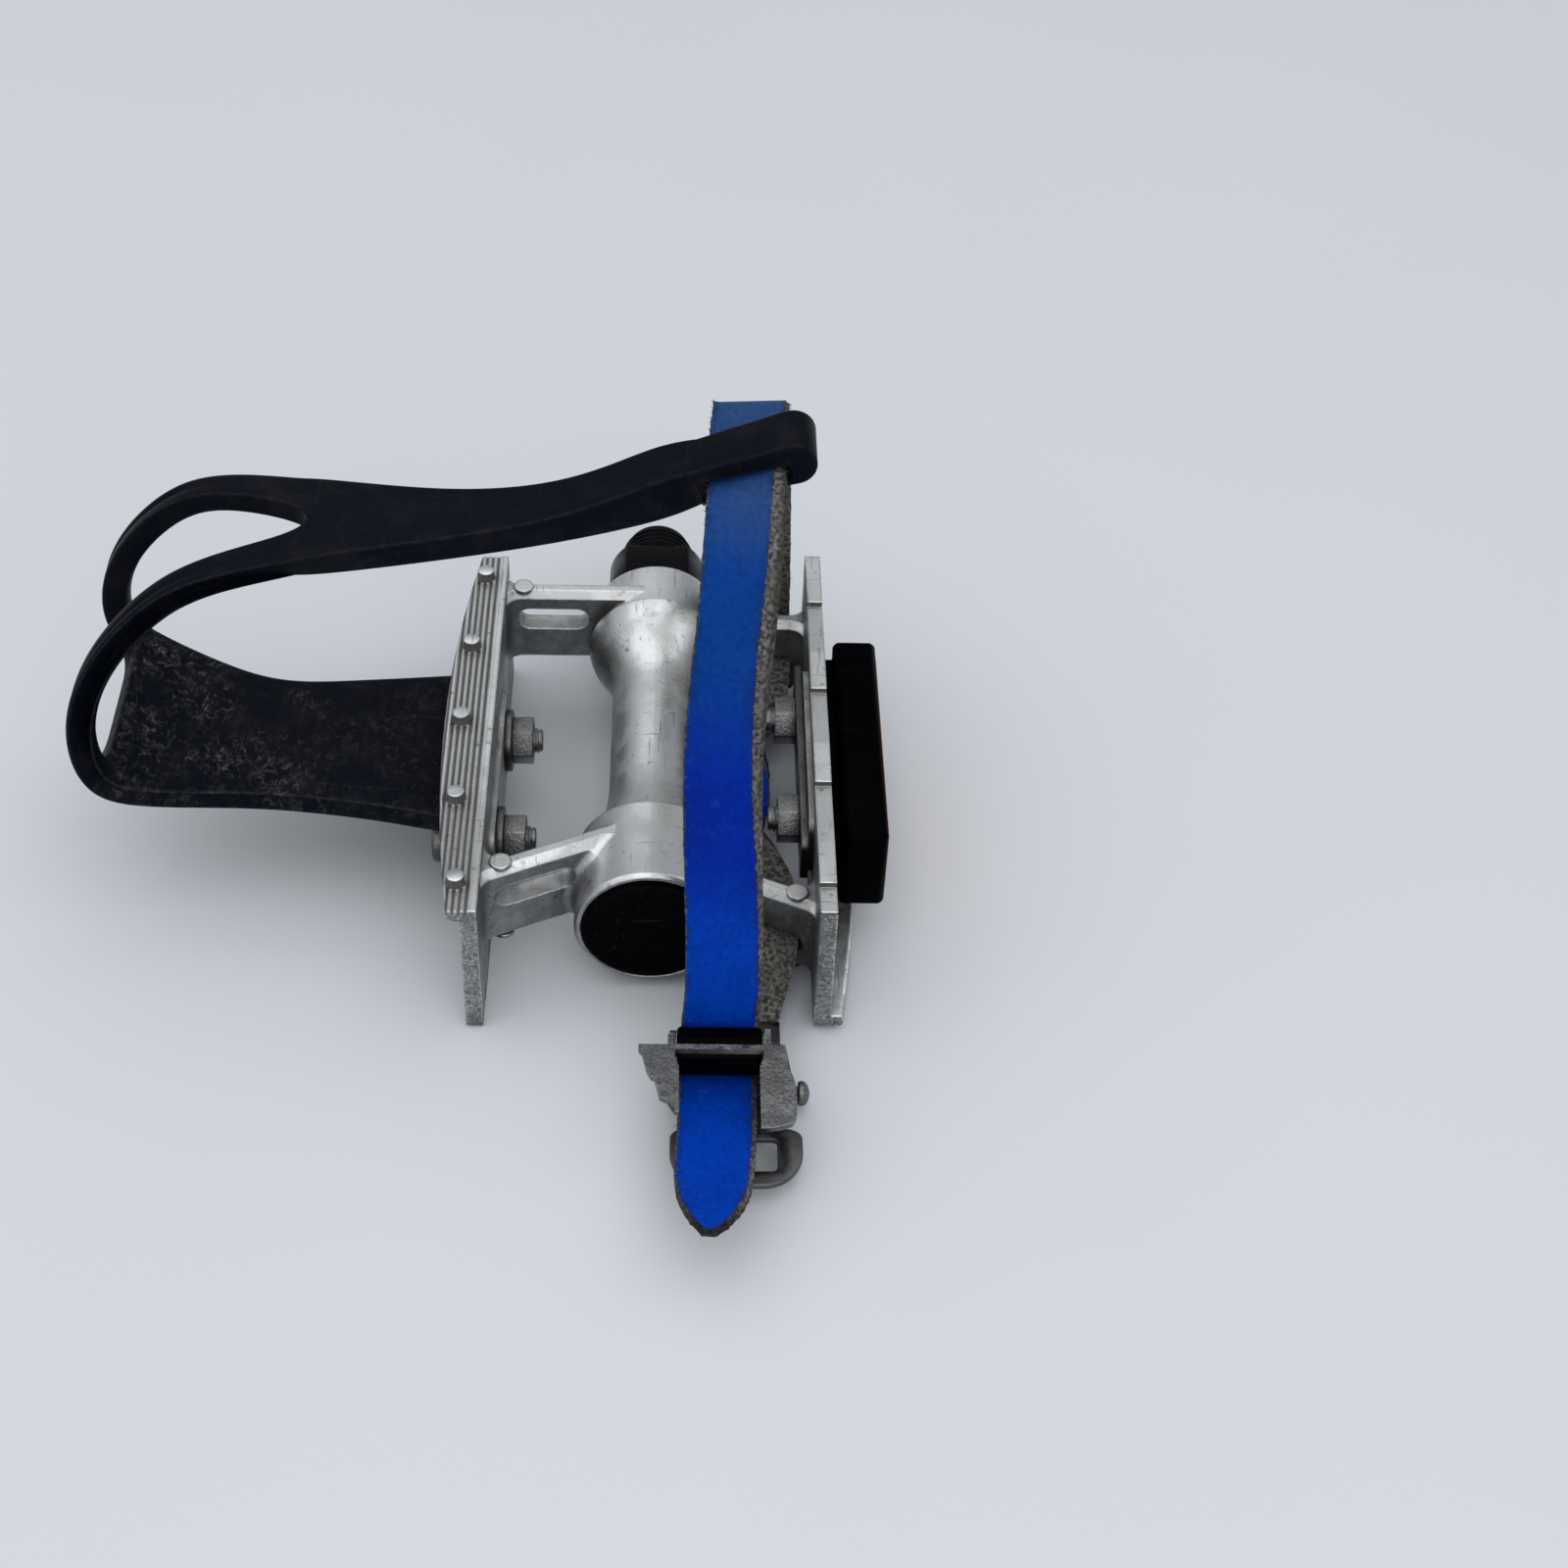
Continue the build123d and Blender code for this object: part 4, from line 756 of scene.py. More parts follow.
def thread_ridge(bm, start, axis, radius, depth, pitch, turns, hand, steps=40):
    """Winds a V ridge about an axis, fading into the core at both ends."""
    side = axis.orthogonal().normalized()
    core = radius - depth
    foot = core - 0.2 * depth
    profile = [bm.verts.new(start + side * r + axis * (share * pitch))
               for r, share in ((foot, 0.0), (radius, 0.42), (radius, 0.58), (foot, 1.0))]
    edges = [bm.edges.new(pair) for pair in zip(profile, profile[1:])]
    before = set(bm.verts) - set(profile)
    bmesh.ops.spin(bm, geom=profile + edges, cent=start, axis=axis * hand, dvec=axis * (pitch / steps),
                   angle=2 * pi * turns, steps=steps * turns)
    wound = [v for v in bm.verts if v not in before]
    bmesh.ops.remove_doubles(bm, verts=wound, dist=1e-7)
    wound = [v for v in bm.verts if v not in before]
    length = (turns + 1) * pitch
    for vert in wound:
        along = (vert.co - start).dot(axis)
        out = vert.co - start - axis * along
        most = core + depth * min(1.0, along / pitch - 0.2, (length - along) / pitch - 0.2)
        if out.length > most:
            vert.co = start + axis * along + out.normalized() * max(most, 0.8 * core)
    faces = list({f for v in wound for f in v.link_faces})
    bmesh.ops.recalc_face_normals(bm, faces=faces)
    probe = max(faces, key=lambda f: f.calc_area())
    spot = probe.calc_center_median()
    if probe.normal.dot(spot - start - axis * (spot - start).dot(axis)) < 0:
        bmesh.ops.reverse_faces(bm, faces=faces)


def dress(names, material):
    """Gives CAD nodes a finish."""
    for name in names:
        data = NODES[name].data
        data.materials.clear()
        data.materials.append(material)


class PEDAL_OT_finishes(bpy.types.Operator):
    """Make the shared wear effects and the edge and corner masks for painted highlight and shade"""

    bl_idname = "pedal.finishes"
    bl_label = "Shared wear effects"

    def execute(self, context):
        make_edge_group()
        make_scratch_group()
        make_grain_group()
        return {"FINISHED"}


class PEDAL_OT_cage(bpy.types.Operator):
    """Finish the cast cage"""

    bl_idname = "pedal.cage"
    bl_label = "Cast cage"

    def execute(self, context):
        colours = context.scene.pedal_colours
        cast = metal_finish(
            "cast aluminium", colours.aluminium, (0.62, 0.63, 0.635), colours.grime_and_shade, 0.44, 1800.0, 0.6,
            darkening=2.2, mottle=0.15, tread=True, reach=0.009, side_shade=(0.155, 0.16, 0.165))
        dress(["pedal_body"], cast)
        radius, low, high = (size * MM for size in STUD_CAP)
        bm = bmesh.new()
        for x, u in STUDS:
            spot = place(x, u, 0.0) + Vector((0.0, 0.0, (low + high) / 2))
            add_disc(bm, Matrix.Translation(spot), radius, high - low, 40)
        finish_piece(soften(bm, 0.15 * MM, 40.0), "tread_stud_caps", "cage", "cage_aluminium", cast)
        return {"FINISHED"}


class PEDAL_OT_spindle(bpy.types.Operator):
    """Build the threaded spindle"""

    bl_idname = "pedal.spindle"
    bl_label = "Spindle"

    def execute(self, context):
        sizes = context.scene.pedal_sizes
        colours = context.scene.pedal_colours
        bm = merged_copy("spindle")
        depth = SPINDLE_DEPTH * sizes.thread_pitch
        radius = SPINDLE_RADIUS * MM
        for vert in bm.verts:
            if vert.co.y > -1e-5 and Vector((vert.co.x, vert.co.z)).length < radius + 1e-4:
                vert.co.x *= (radius - depth) / radius
                vert.co.z *= (radius - depth) / radius
        soften(bm, 0.0003, 40.0)
        thread_ridge(bm, Vector((0, 0.0002, 0)), Vector((0, 1, 0)), radius, depth, sizes.thread_pitch, 5, -1)
        black = metal_finish(
            "black steel", colours.black_steel, (0.012, 0.012, 0.013), grey(0.002), 0.4, 2600.0, 0.3,
            edge_round=0.0003, edge=(0.12, 0.12, 0.125))
        black.node_tree.nodes["Principled BSDF"].inputs["Specular IOR Level"].default_value = 0.2
        finish_piece(bm, "spindle_shaft", "spindle", "black_steel", black, "spindle")
        return {"FINISHED"}


class PEDAL_OT_bearings(bpy.types.Operator):
    """Finish the bearings and the seal"""

    bl_idname = "pedal.bearings"
    bl_label = "Bearings and seal"

    def execute(self, context):
        colours = context.scene.pedal_colours
        steel = metal_finish("bearing steel", grey(0.62), grey(0.52), colours.grime_and_shade, 0.2, 4000.0, 0.1)
        dress(["inner_bearing_cup", "inner_bearing_balls", "outer_bearing_cup", "outer_bearing_balls", "outer_cone",
               "lock_washer", "lock_nut"], steel)
        rubber = plastic_finish("seal rubber", grey(0.012), (0.06, 0.06, 0.058), 0.6, 2600.0, 1.0)
        dress(["spindle_seal"], rubber)
        return {"FINISHED"}


class PEDAL_OT_dust_cap(bpy.types.Operator):
    """Turn the dust cap"""

    bl_idname = "pedal.dust_cap"
    bl_label = "Dust cap"

    def execute(self, context):
        bm = bmesh.new()
        lathe(bm, CAP_SECTION)
        glossy = plastic_finish("cap plastic", (0.0015, 0.0015, 0.002), grey(0.10), 0.2, 2200.0, 0.45, 0.012)
        finish_piece(bm, "dust_cap_disc", "cage", "cap_plastic", glossy, "dust_cap")
        return {"FINISHED"}


class PEDAL_OT_toe_clip(bpy.types.Operator):
    """Mould the toe clip"""

    bl_idname = "pedal.toe_clip"
    bl_label = "Toe clip"

    # Lines across a strip from its outer edge, as shares of its width, and how far each stands out in millimetres
    shares = (0.0, 0.10, 0.32, 0.42, 0.52, 0.86, 1.0)
    heights = (-0.5, 0.05, 0.0, -0.75, 0.0, 0.0, -0.15)

    def outward(self, line, k):
        """Unit normal of a strip's middle line on its outer side, in the XZ plane."""
        ahead = line[min(k + 1, len(line) - 1)]
        behind = line[max(k - 1, 0)]
        run = Vector((ahead[0] - behind[0], ahead[1] - behind[1])).normalized()
        return Vector((run.y, 0.0, -run.x))

    def set_row(self, row, spot, normal, us, heights, lift, thick, tread):
        """Moves a row of vertices to a station."""
        for vert, u, height in zip(row, us, heights):
            vert.co = place(spot[0], u, spot[1]) + normal * (lift + height * MM)
            vert[self.thick_layer] = thick
            vert[self.tread_layer] = tread

    def execute(self, context):
        sizes = context.scene.pedal_sizes
        bm = bmesh.new()
        self.thick_layer = bm.verts.layers.float.new("thick")
        self.tread_layer = bm.verts.layers.float.new("tread")
        lift = sizes.clip_strip_thick / 2
        most = max(LOOP_SWELL)[0] * MM
        plain = sizes.clip_strip_thick / most
        columns = len(self.shares)
        line = TOP_STRIP + TOE_STRIP
        # Top strip, from the loop to the fork
        row = start_row(bm, 2 * columns - 1)
        for k, (x, z, half) in enumerate(TOP_STRIP):
            if k:
                row = extend(bm, row)
            across = [-half * (1 - share) for share in self.shares]
            groove = held((GROOVE_FROM - x) / GROOVE_RUN)
            rise = [h * groove if 0 < i < columns - 1 else 0.0 for i, h in enumerate(self.heights)]
            us = across + [-u for u in across[-2::-1]]
            thick, stand = LOOP_SWELL[k] if k < len(LOOP_SWELL) else (most * plain / MM, lift / MM)
            normal = self.outward(line, k)
            self.set_row(row, (x, z), normal, us, rise + rise[-2::-1], stand * MM, thick * MM / most, 0.0)
        # Two strips round the toe
        wide = sizes.clip_strip_width / MM
        ends = []
        for side, branch in ((-1, row[:columns]), (1, row[columns - 1:][::-1])):
            for k, (x, z, out) in enumerate(TOE_STRIP):
                branch = extend(bm, branch)
                broad = FORK_WIDTHS[k] if k < len(FORK_WIDTHS) else wide
                us = [side * (out + wide / 2 - share * broad) for share in self.shares]
                normal = self.outward(line + TONGUE[:1], len(TOP_STRIP) + k)
                self.set_row(branch, (x, z), normal, us, self.heights, lift, plain, 0.0)
            ends.append(branch)
        # Tongue, from the toe back to the base plate
        inner = 5
        middle = [bm.verts.new() for _ in range(inner)]
        row = ends[0] + middle + ends[1][::-1]
        for pair in zip(row[columns - 1:columns + inner], row[columns:columns + inner + 1]):
            bm.edges.new(pair)
        back = TOE_STRIP[-1:] + TONGUE
        thin = sizes.clip_tongue_thick / most
        for k, (x, z, half) in enumerate(back):
            if k:
                row = extend(bm, row)
            edge = half if k else half + wide / 2
            side_us = [-(edge - share * wide) for share in self.shares]
            gap = -2 * side_us[-1] / (inner + 1)
            us = side_us + [side_us[-1] + gap * (j + 1) for j in range(inner)] + [-u for u in side_us[::-1]]
            normal = self.outward(TOE_STRIP[-2:-1] + back, k + 1)
            level = sizes.clip_tongue_thick / 2 if k else lift
            rise = [TONGUE_RELIEF * h for h in self.heights]
            if k:
                self.set_row(row, (x, z), normal, us, rise + [0.0] * inner + rise[::-1], level, thin, 1.0)
            else:
                brow = (x + BROW[0], z + BROW[1])
                us = us[columns:columns + inner]
                self.set_row(middle, brow, normal, us, [0.0] * inner, level + BROW[2] * MM, thin, 1.0)
        bmesh.ops.recalc_face_normals(bm, faces=bm.faces)
        probe = min(bm.faces, key=lambda f: f.calc_center_median().z)
        if probe.normal.z > 0:
            bmesh.ops.reverse_faces(bm, faces=bm.faces)
        bm = settle(
            bm,
            ("SOLIDIFY", {"thickness": most, "offset": -1.0, "vertex_group": "thick",
                          "edge_crease_inner": 0.55, "edge_crease_outer": 0.45, "use_quality_normals": True}),
            ("SUBSURF", {"levels": 3, "render_levels": 3}),
        )
        self.add_loop(bm)
        self.add_base(bm)
        plastic = clip_finish(context.scene.pedal_colours)
        finish_piece(bm, "toe_clip_moulding", "cage", "clip_plastic", plastic, "toe_clip", sharp=50.0)
        return {"FINISHED"}

    def add_loop(self, bm):
        """Rounded tube at the end of the top strip that the strap runs through."""
        ring, along = block(LOOP_SIZE, 1)
        round_edges(ring, [e for e in along if e.verts[0].co.x > 0], LOOP_END_ROUND * MM, 10)
        mouths = [f for f in ring.faces if abs(f.normal.y) > 0.9]
        bmesh.ops.inset_individual(ring, faces=mouths, thickness=(LOOP_SIZE[2] - LOOP_SLOT[1]) / 2 * MM)
        stretch = LOOP_SLOT[0] / (LOOP_SIZE[0] - LOOP_SIZE[2] + LOOP_SLOT[1])
        for vert in {v for f in mouths for v in f.verts}:
            vert.co.x = vert.co.x * stretch + LOOP_SLOT_SHIFT[0] * MM
            vert.co.z += LOOP_SLOT_SHIFT[1] * MM
        rims = [e for f in mouths for e in f.edges]
        bmesh.ops.delete(ring, geom=mouths, context="FACES_ONLY")
        bmesh.ops.bridge_loops(ring, edges=rims)
        for vert in ring.verts:
            if vert.co.x < -0.49 * LOOP_SIZE[0] * MM:
                vert.co.y *= LOOP_TAPER[0]
                vert.co.z *= LOOP_TAPER[1]
        bmesh.ops.recalc_face_normals(ring, faces=ring.faces)
        soften(ring, 0.9 * MM, 40.0, 4)
        turn = Matrix.Translation(place(*LOOP_PLACE)) @ Matrix.Rotation(-LOOP_TILT, 4, "Y")
        bmesh.ops.transform(ring, matrix=turn, verts=ring.verts)
        self.join(bm, ring)

    def add_base(self, bm):
        """Plate that the bolts clamp against the front of the cage."""
        plate, corners = block(BASE_SIZE, 0)
        round_edges(plate, corners, BASE_CORNER_ROUND * MM, 5)
        soften(plate, 0.5 * MM, 40.0, 3)
        bmesh.ops.translate(plate, vec=place(*BASE_PLACE), verts=plate.verts)
        self.join(bm, plate)

    def join(self, bm, part):
        """Adds another bmesh to the clip and frees it."""
        mesh = bpy.data.meshes.new("joining")
        part.to_mesh(mesh)
        part.free()
        bm.from_mesh(mesh)
        bpy.data.meshes.remove(mesh)


class PEDAL_OT_fasteners(bpy.types.Operator):
    """Build the clip's and the reflector's fasteners"""

    bl_idname = "pedal.fasteners"
    bl_label = "Bolts, washers and nuts"

    def execute(self, context):
        sizes = context.scene.pedal_sizes
        colours = context.scene.pedal_colours
        zinc = metal_finish(
            "zinc plate", colours.zinc, (0.26, 0.262, 0.26), (0.03, 0.027, 0.024), 0.42, 1500.0, 0.9,
            edge_round=0.0004, mottle=0.45, edge=grey(0.6), side_shade=(0.065, 0.065, 0.063))
        # Darker zinc, painted as shade on the backing strip behind the reflector's nuts; the clip's washers take it
        # too.
        shade_dark_zinc = metal_finish(
            "shade dark zinc", grey(0.2), grey(0.12), (0.012, 0.011, 0.01), 0.36, 1500.0, 0.9,
            edge_round=0.0004, mottle=0.3, edge=grey(0.6), side_shade=grey(0.025))
        for node, size, finish in (("clip_nuts", 0.35, zinc), ("reflector_nuts", 0.35, zinc),
                                   ("clip_inner_washers", 0.2, shade_dark_zinc), ("clip_outer_washers", 0.2, shade_dark_zinc),
                                   ("reflector_backing_strip", 0.25, shade_dark_zinc)):
            bm = soften(merged_copy(node), size * MM, 28.0)
            finish_piece(bm, node + "_plated", "cage", "zinc_steel", finish, node)
        radius = BOLT_RADIUS * MM
        depth = BOLT_DEPTH * sizes.bolt_pitch
        for node, sign in (("clip_bolts", 1), ("reflector_studs", -1)):
            bm = merged_copy(node)
            low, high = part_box(node)
            tip = high.x if sign > 0 else low.x
            middles = [place(0.0, u, -sign * BOLT_LEVEL) for u in BOLT_US]
            for middle in middles:
                for vert in bm.verts:
                    out = Vector((0.0, vert.co.y - middle.y, vert.co.z - middle.z))
                    if abs(vert.co.x - tip) < 1e-5 and out.length < 1.2 * radius:
                        vert.co -= out * (depth / radius)
            soften(bm, 0.0002, 40.0)
            for middle in middles:
                middle.x = tip - sign * 5 * sizes.bolt_pitch
                thread_ridge(bm, middle, Vector((sign, 0, 0)), radius, depth, sizes.bolt_pitch, 4, 1, 24)
            finish_piece(bm, node + "_threaded", "cage", "zinc_steel", zinc, node)
        return {"FINISHED"}


class PEDAL_OT_reflector(bpy.types.Operator):
    """Build the rear reflector"""

    bl_idname = "pedal.reflector"
    bl_label = "Reflector"

    def execute(self, context):
        colours = context.scene.pedal_colours
        black = plastic_finish(
            "reflector plastic", (0.0004, 0.0005, 0.0012), (0.05, 0.05, 0.055), 0.25, 2600.0, 0.2, 0.012)
        case = soften(merged_copy("reflector_housing"), 0.4 * MM, 20.0, 3)
        finish_piece(case, "reflector_case", "cage", "reflector_plastic", black, "reflector_housing")
        lens = merged_copy("reflector_lens")
        low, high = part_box("reflector_lens")
        centre = (low + high) / 2
        for vert in lens.verts:
            vert.co.y = centre.y + (vert.co.y - centre.y) * LENS_SHARES[0]
            vert.co.z = centre.z + (vert.co.z - centre.z) * LENS_SHARES[1]
        soften(lens, 0.3 * MM, 30.0, 3)
        finish_piece(lens, "reflector_prism_lens", "cage", "amber_lens", lens_finish(colours), "reflector_lens")
        return {"FINISHED"}


class PEDAL_OT_toe_strap(bpy.types.Operator):
    """Lay the leather strap"""

    bl_idname = "pedal.toe_strap"
    bl_label = "Toe strap"

    def stations(self):
        """Path of the strap: place, turn and share of the full width."""
        path = list(STRAP_START)
        x, z = TWIST_PLACE
        for k in range(TWIST_STEPS + 1):
            way = k / TWIST_STEPS
            u = TWIST_FROM + (TWIST_TO - TWIST_FROM) * way
            path.append((x - TWIST_DRAW_IN * sqrt(abs(sin(pi * way))), u, z, 360 * way))
        path += STRAP_RISE
        x, u, z = ROLLER_PLACE
        for turn in ROLLER_TURNS:
            path.append((x, u + ROLLER_WRAP * sin(radians(turn)), z - ROLLER_WRAP * cos(radians(turn)), 360))
        path += STRAP_TAIL
        shares = [1.0] * (len(path) - len(TIP_SHARES)) + list(TIP_SHARES)
        return [(place(x, u, z), radians(roll), share) for (x, u, z, roll), share in zip(path, shares)]

    def coat_limit(self, vert):
        """Share of the width that is still coated, right of the strap's middle, at a vertex."""
        height = vert.co.z / MM
        if vert[self.along] < self.near_from or height < COAT_LIMITS[-1][0]:
            return COAT_LIMITS[-1][1]
        for (high, first), (low, second) in zip(COAT_LIMITS, COAT_LIMITS[1:]):
            if height >= low:
                return second + (first - second) * min(1.0, (height - low) / (high - low))
        return COAT_LIMITS[-1][1]

    def add_fibres(self, bm, edge_verts):
        """Sets loose fibres on the cut edges."""
        bm.normal_update()
        chance = Random(FIBRE_SEED)
        roots = [(v.co.copy(), v.normal.copy(), v[self.along]) for v in chance.choices(edge_verts, k=FIBRES)]
        for spot, normal, length in roots:
            lean = Vector((chance.uniform(-1, 1), chance.uniform(-1, 1), chance.uniform(-1, 1)))
            run = (normal + FIBRE_LEAN * lean).normalized()
            reach = chance.uniform(*FIBRE_LENGTHS) * MM
            middle = spot + run * (FIBRE_STAND * reach)
            turn = Matrix.Translation(middle) @ run.to_track_quat("Z", "Y").to_matrix().to_4x4()
            made = bmesh.ops.create_cone(bm, cap_ends=True, segments=3, radius1=chance.uniform(*FIBRE_ROOTS) * MM,
                                         radius2=FIBRE_TIP * MM, depth=reach, matrix=turn)
            for vert in made["verts"]:
                vert[self.trim] = FIBRE_TRIM
                vert[self.along] = length

    def execute(self, context):
        sizes = context.scene.pedal_sizes
        bm = bmesh.new()
        across_layer = bm.verts.layers.float.new("across")
        along_layer = bm.verts.layers.float.new("along")
        for name in ("coat", "trim"):
            bm.verts.layers.float.new(name)
        path = self.stations()
        row = start_row(bm, len(STRAP_LINES))
        lengths = [0.0]
        for k, (spot, roll, share) in enumerate(path):
            if k:
                row = extend(bm, row)
                lengths.append(lengths[-1] + (spot - path[k - 1][0]).length)
            run = (path[min(k + 1, len(path) - 1)][0] - path[max(k - 1, 0)][0]).normalized()
            wide = Vector((cos(roll), 0.0, sin(roll)))
            wide = (wide - run * wide.dot(run)).normalized()
            for vert, part in zip(row, STRAP_LINES):
                vert.co = spot + wide * (part * share * sizes.strap_width / 2)
                vert[across_layer] = part
                vert[along_layer] = lengths[k]
        bm = settle(bm, ("SUBSURF", {"levels": 3, "render_levels": 3, "boundary_smooth": "ALL"}))
        across_layer = bm.verts.layers.float["across"]
        coat_layer = bm.verts.layers.float["coat"]
        self.along = bm.verts.layers.float["along"]
        self.trim = bm.verts.layers.float["trim"]
        self.near_from = lengths[len(STRAP_START) + TWIST_STEPS + 1 + NEAR_STATION]
        bm.normal_update()
        tail = max(bm.verts, key=lambda v: v[self.along])
        if tail.normal.z < 0:
            bmesh.ops.reverse_faces(bm, faces=bm.faces)
            bm.normal_update()
        outer = list(bm.verts)
        for vert in outer:
            vert.co += vert.normal * (sizes.strap_thick / 2)
        bmesh.ops.solidify(bm, geom=bm.faces, thickness=sizes.strap_thick)
        bm.normal_update()
        kept = set(outer)
        for vert in bm.verts:
            side = vert[across_layer]
            limit = self.coat_limit(vert)
            vert[coat_layer] = 1.0 if vert in kept else 0.0
            vert[self.trim] = max(side - limit, -side - COAT_LEFT)
            sink = 0.0
            if vert in kept and side > limit:
                sink = -sizes.strap_skive * (side - limit) / (1.0 - limit)
            if abs(side) > FRAY_FROM:
                coarse, fine = (noise.noise(vert.co * scale) for scale in FRAY_SCALES)
                sink += (coarse + FRAY_FINE_SHARE * fine) * sizes.strap_fray
            vert.co += vert.normal * sink
        rims = [v for v in kept if abs(v[across_layer]) > ROOTS_FROM]
        self.add_fibres(bm, sorted(rims, key=lambda v: (v[self.along], v[across_layer])))
        heights = [(spot.z / MM, length) for (spot, _, _), length in zip(path, lengths) if length >= self.near_from]
        creases = []
        for height, reach, depth in CREASES:
            for (high, first), (low, second) in zip(heights, heights[1:]):
                if low <= height <= high:
                    creases.append((first + (second - first) * (high - height) / (high - low), reach * MM, depth))
                    break
        leather = strap_finish(context.scene.pedal_colours, creases)
        finish_piece(bm, "toe_strap_leather", "cage", "blue_leather", leather, "toe_strap", sharp=60.0)
        return {"FINISHED"}


class PEDAL_OT_buckle(bpy.types.Operator):
    """Build the buckle"""

    bl_idname = "pedal.buckle"
    bl_label = "Buckle"

    def folded_frame(self, sizes):
        """Cheeks, wall and clamp of the frame under a new top sheet with worn, uneven wings."""
        bm = merged_copy("buckle_frame")
        low, high = (z * MM for z in BUCKLE_SHEET)
        bmesh.ops.bisect_plane(bm, geom=bm.verts[:] + bm.edges[:] + bm.faces[:], plane_co=(0, 0, low - BUCKLE_CUT * MM),
                               plane_no=(0, 0, 1), clear_outer=True)
        bmesh.ops.holes_fill(bm, edges=[e for e in bm.edges if e.is_boundary])
        pull_from, pull, pull_start, pull_run = CHEEK_PULL
        trim_within, far_edge, step, lower_edge, upper_edge = CHEEK_TRIM
        for vert in bm.verts:
            u = vert.co.y / MM - CAGE_MIDDLE
            if vert.co.x > pull_from * MM:
                vert.co.x -= pull * MM * held((u - pull_start) / pull_run)
            elif vert.co.x < trim_within * MM:
                near_edge = lower_edge if vert.co.z < step * MM else upper_edge
                vert.co.y = (CAGE_MIDDLE + max(near_edge, min(far_edge, u))) * MM
        for near, far in BUCKLE_EARS:
            turn = Matrix.Translation(place((near + far) / 2, *ROLLER_PLACE[1:])) @ Matrix.Rotation(pi / 2, 4, "Y")
            add_disc(bm, turn, BUCKLE_EAR_RADIUS * MM, (far - near) * MM, 64)
        sheet = [bm.verts.new(place(x, u, 0.0) + Vector((0, 0, low - BUCKLE_LAP * MM))) for x, u in BUCKLE_TOP]
        made = bmesh.ops.extrude_face_region(bm, geom=[bm.faces.new(sheet)])["geom"]
        for vert in made:
            if isinstance(vert, bmesh.types.BMVert):
                vert.co.z = high
        bmesh.ops.recalc_face_normals(bm, faces=bm.faces)
        return soften(bm, sizes.fold_round, 30.0)

    def rivet(self):
        """Pivot pin with a round head, turned about X."""
        bm = bmesh.new()
        u, z = RIVET_PLACE
        line = [(RIVET[0][0], 0.0), *RIVET, (RIVET[-1][0], 0.0)]
        row = [bm.verts.new(place(x, u, z) + Vector((0, 0, r * MM))) for x, r in line]
        edges = [bm.edges.new(pair) for pair in zip(row, row[1:])]
        bmesh.ops.spin(bm, geom=row + edges, cent=place(0, u, z), axis=(1, 0, 0), angle=2 * pi, steps=32,
                       use_merge=True)
        bmesh.ops.remove_doubles(bm, verts=bm.verts, dist=1e-6)
        bmesh.ops.recalc_face_normals(bm, faces=bm.faces)
        return bm

    def ribbed_roller(self):
        """Roller with shallow lengthwise ribs round its outside."""
        low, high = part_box("buckle_roller")
        radius = ROLLER_RADIUS * MM
        centre = (low + high) / 2
        bm = bmesh.new()
        rings = []
        for x, r in ((low.x, 0.3 * radius), (low.x, 0.9 * radius), (low.x + 0.1 * radius, radius),
                     (high.x - 0.1 * radius, radius), (high.x, 0.9 * radius), (high.x, 0.3 * radius)):
            turn = Matrix.Translation(Vector((x, centre.y, centre.z))) @ Matrix.Rotation(pi / 2, 4, "Y")
            made = bmesh.ops.create_circle(bm, cap_ends=False, radius=r, segments=8 * ROLLER_RIBS, matrix=turn)["verts"]
            rings.append(list({e for v in made for e in v.link_edges}))
        for first, second in zip(rings, rings[1:] + rings[:1]):
            bmesh.ops.bridge_loops(bm, edges=first + second)
        for vert in bm.verts:
            out = Vector((0.0, vert.co.y - centre.y, vert.co.z - centre.z))
            if out.length > 0.95 * radius:
                vert.co -= out * (ROLLER_RIB_DEPTH * (0.5 - 0.5 * cos(ROLLER_RIBS * atan2(out.z, out.y))))
        bmesh.ops.recalc_face_normals(bm, faces=bm.faces)
        return bm

    def execute(self, context):
        sizes = context.scene.pedal_sizes
        colours = context.scene.pedal_colours
        zinc = metal_finish(
            "buckle zinc", shade(colours.zinc, 0.75), (0.15, 0.155, 0.15), (0.03, 0.028, 0.025), 0.44, 1400.0, 0.8,
            edge_round=0.0003, mottle=0.5, edge=grey(0.5), scored=0.12, dents=6.0)
        dark = metal_finish(
            "lever steel", (0.13, 0.13, 0.135), (0.09, 0.09, 0.093), grey(0.025), 0.40, 1600.0, 0.4,
            edge_round=0.0003, mottle=0.15, edge=grey(0.4), scored=0.2)
        spring = metal_finish("spring steel", grey(0.45), grey(0.3), grey(0.05), 0.3, 3000.0, 0.1)
        roller = plastic_finish(
            "roller plastic", (0.0005, 0.0005, 0.001), (0.05, 0.05, 0.055), 0.18, 2600.0, 0.3, 0.02)
        finish_piece(self.folded_frame(sizes), "buckle_folded_sheet", "cage", "buckle_zinc", zinc, "buckle_frame")
        finish_piece(self.rivet(), "buckle_rivet", "cage", "buckle_zinc", zinc, "buckle_pivot_pin")
        lever = merged_copy("buckle_lever")
        push, push_start, push_run = RING_PUSH
        for vert in lever.verts:
            vert.co.y += push * MM * held((CAGE_MIDDLE + push_start - vert.co.y / MM) / push_run)
        soften(lever, sizes.fold_round, 30.0)
        finish_piece(lever, "buckle_thumb_lever", "lever", "lever_dark", dark, "buckle_lever")
        finish_piece(self.ribbed_roller(), "buckle_strap_roller", "roller", "roller_black", roller, "buckle_roller")
        dress(["buckle_roller_pin"], zinc)
        dress(["buckle_spring"], spring)
        return {"FINISHED"}


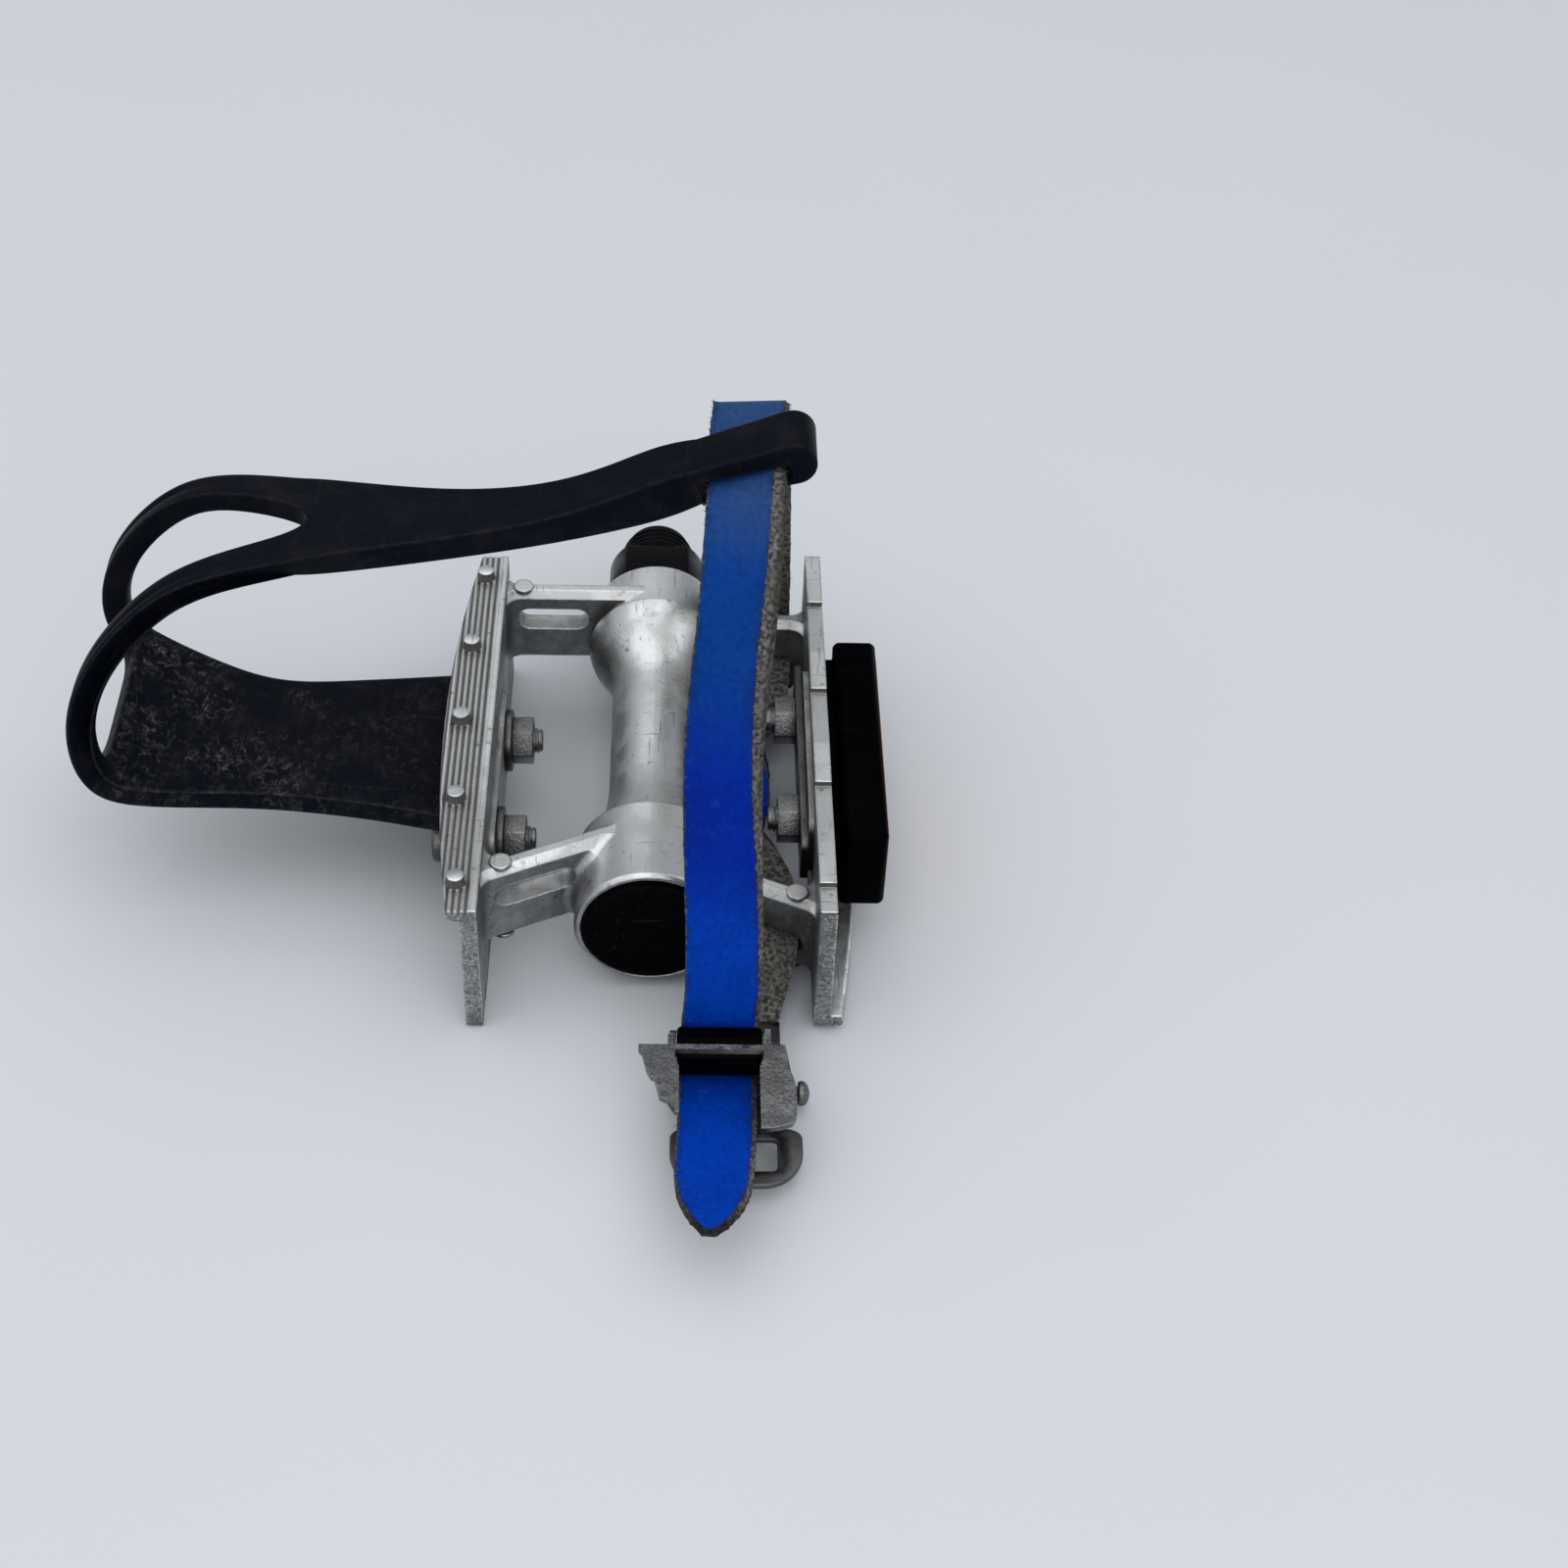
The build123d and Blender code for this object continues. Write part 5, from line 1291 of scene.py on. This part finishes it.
class PEDAL_OT_stage(bpy.types.Operator):
    """Set the floor, the light and the camera"""

    bl_idname = "pedal.stage"
    bl_label = "Stage"

    def add_light(self, scene, name, spot, aim, size, power):
        """Hangs a square lamp that looks at a point."""
        lamp = bpy.data.lights.new(name, "AREA")
        lamp.size = size
        lamp.energy = power
        holder = bpy.data.objects.new(name, lamp)
        holder.location = spot
        holder.rotation_euler = (Vector(aim) - Vector(spot)).to_track_quat("-Z", "Y").to_euler()
        scene.collection.objects.link(holder)

    def execute(self, context):
        scene = context.scene
        sizes = scene.pedal_sizes
        bm = bmesh.new()
        bmesh.ops.create_grid(bm, x_segments=1, y_segments=1, size=sizes.floor_side / 2)
        bmesh.ops.translate(bm, vec=(0, CAGE_MIDDLE * MM, cad_box[0][2]), verts=bm.verts)
        mesh = bpy.data.meshes.new("floor")
        bm.to_mesh(mesh)
        bm.free()
        floor = bpy.data.objects.new("floor", mesh)
        net = Finish("pale floor")
        cloud = net.remap(net.speckle(7.0), 0.3, 0.7, 0.0, 0.5)
        pale = scene.pedal_colours.floor
        net.feed(Base_Color=net.tint(cloud, pale, shade(pale, 0.97)), Roughness=0.7)
        net.roughen(net.speckle(900.0), 0.00005, 0.4)
        mesh.materials.append(net.material)
        scene.collection.objects.link(floor)

        world = bpy.data.worlds.new("soft room")
        world.use_nodes = True
        sky = world.node_tree.nodes["Background"]
        sky.inputs["Color"].default_value = SKY
        sky.inputs["Strength"].default_value = SKY_STRENGTH
        scene.world = world
        for light in LIGHTS:
            self.add_light(scene, *light)

        tilt, heading, roll = (radians(turn) for turn in CAMERA_TURN)
        ahead = Vector((sin(heading) * cos(tilt), cos(heading) * cos(tilt), -sin(tilt)))
        right = Vector((cos(heading), -sin(heading), 0.0))
        up = right.cross(ahead)
        level = right * cos(roll) + up * sin(roll)
        above = up * cos(roll) - right * sin(roll)
        camera = bpy.data.objects.new("camera", bpy.data.cameras.new("camera"))
        camera.data.lens = sizes.lens_focal
        camera.data.sensor_width = 36.0
        camera.data.clip_start = 0.01
        camera.matrix_world = Matrix((level, above, -ahead)).transposed().to_4x4()
        camera.location = Vector(CAMERA_PLACE) * MM
        scene.collection.objects.link(camera)
        scene.camera = camera
        scene.view_settings.view_transform = "Standard"
        return {"FINISHED"}


OPERATORS = (
    PEDAL_OT_finishes,
    PEDAL_OT_cage,
    PEDAL_OT_spindle,
    PEDAL_OT_bearings,
    PEDAL_OT_dust_cap,
    PEDAL_OT_toe_clip,
    PEDAL_OT_fasteners,
    PEDAL_OT_reflector,
    PEDAL_OT_toe_strap,
    PEDAL_OT_buckle,
    PEDAL_OT_stage,
)


class PEDAL_PT_sidebar(bpy.types.Panel):
    """Pieces of the pedal"""

    bl_label = "Toe Clip Pedal"
    bl_idname = "PEDAL_PT_sidebar"
    bl_space_type = "VIEW_3D"
    bl_region_type = "UI"
    bl_category = "Pedal"

    def draw(self, context):
        for group in (context.scene.pedal_sizes, context.scene.pedal_colours):
            for name in group.bl_rna.properties.keys():
                if name not in ("rna_type", "name"):
                    self.layout.prop(group, name)
        for operator in OPERATORS:
            self.layout.operator(operator.bl_idname)


CLASSES = (PedalSizes, PedalColours, *OPERATORS, PEDAL_PT_sidebar)


def register():
    for cls in CLASSES:
        bpy.utils.register_class(cls)
    bpy.types.Scene.pedal_sizes = PointerProperty(type=PedalSizes)
    bpy.types.Scene.pedal_colours = PointerProperty(type=PedalColours)


def unregister():
    del bpy.types.Scene.pedal_colours
    del bpy.types.Scene.pedal_sizes
    for cls in reversed(CLASSES):
        bpy.utils.unregister_class(cls)


def main():
    register()
    bpy.ops.pedal.finishes()
    bpy.ops.pedal.cage()
    bpy.ops.pedal.spindle()
    bpy.ops.pedal.bearings()
    bpy.ops.pedal.dust_cap()
    bpy.ops.pedal.toe_clip()
    bpy.ops.pedal.fasteners()
    bpy.ops.pedal.reflector()
    bpy.ops.pedal.toe_strap()
    bpy.ops.pedal.buckle()
    bpy.ops.pedal.stage()


if __name__ == "__main__":
    main()
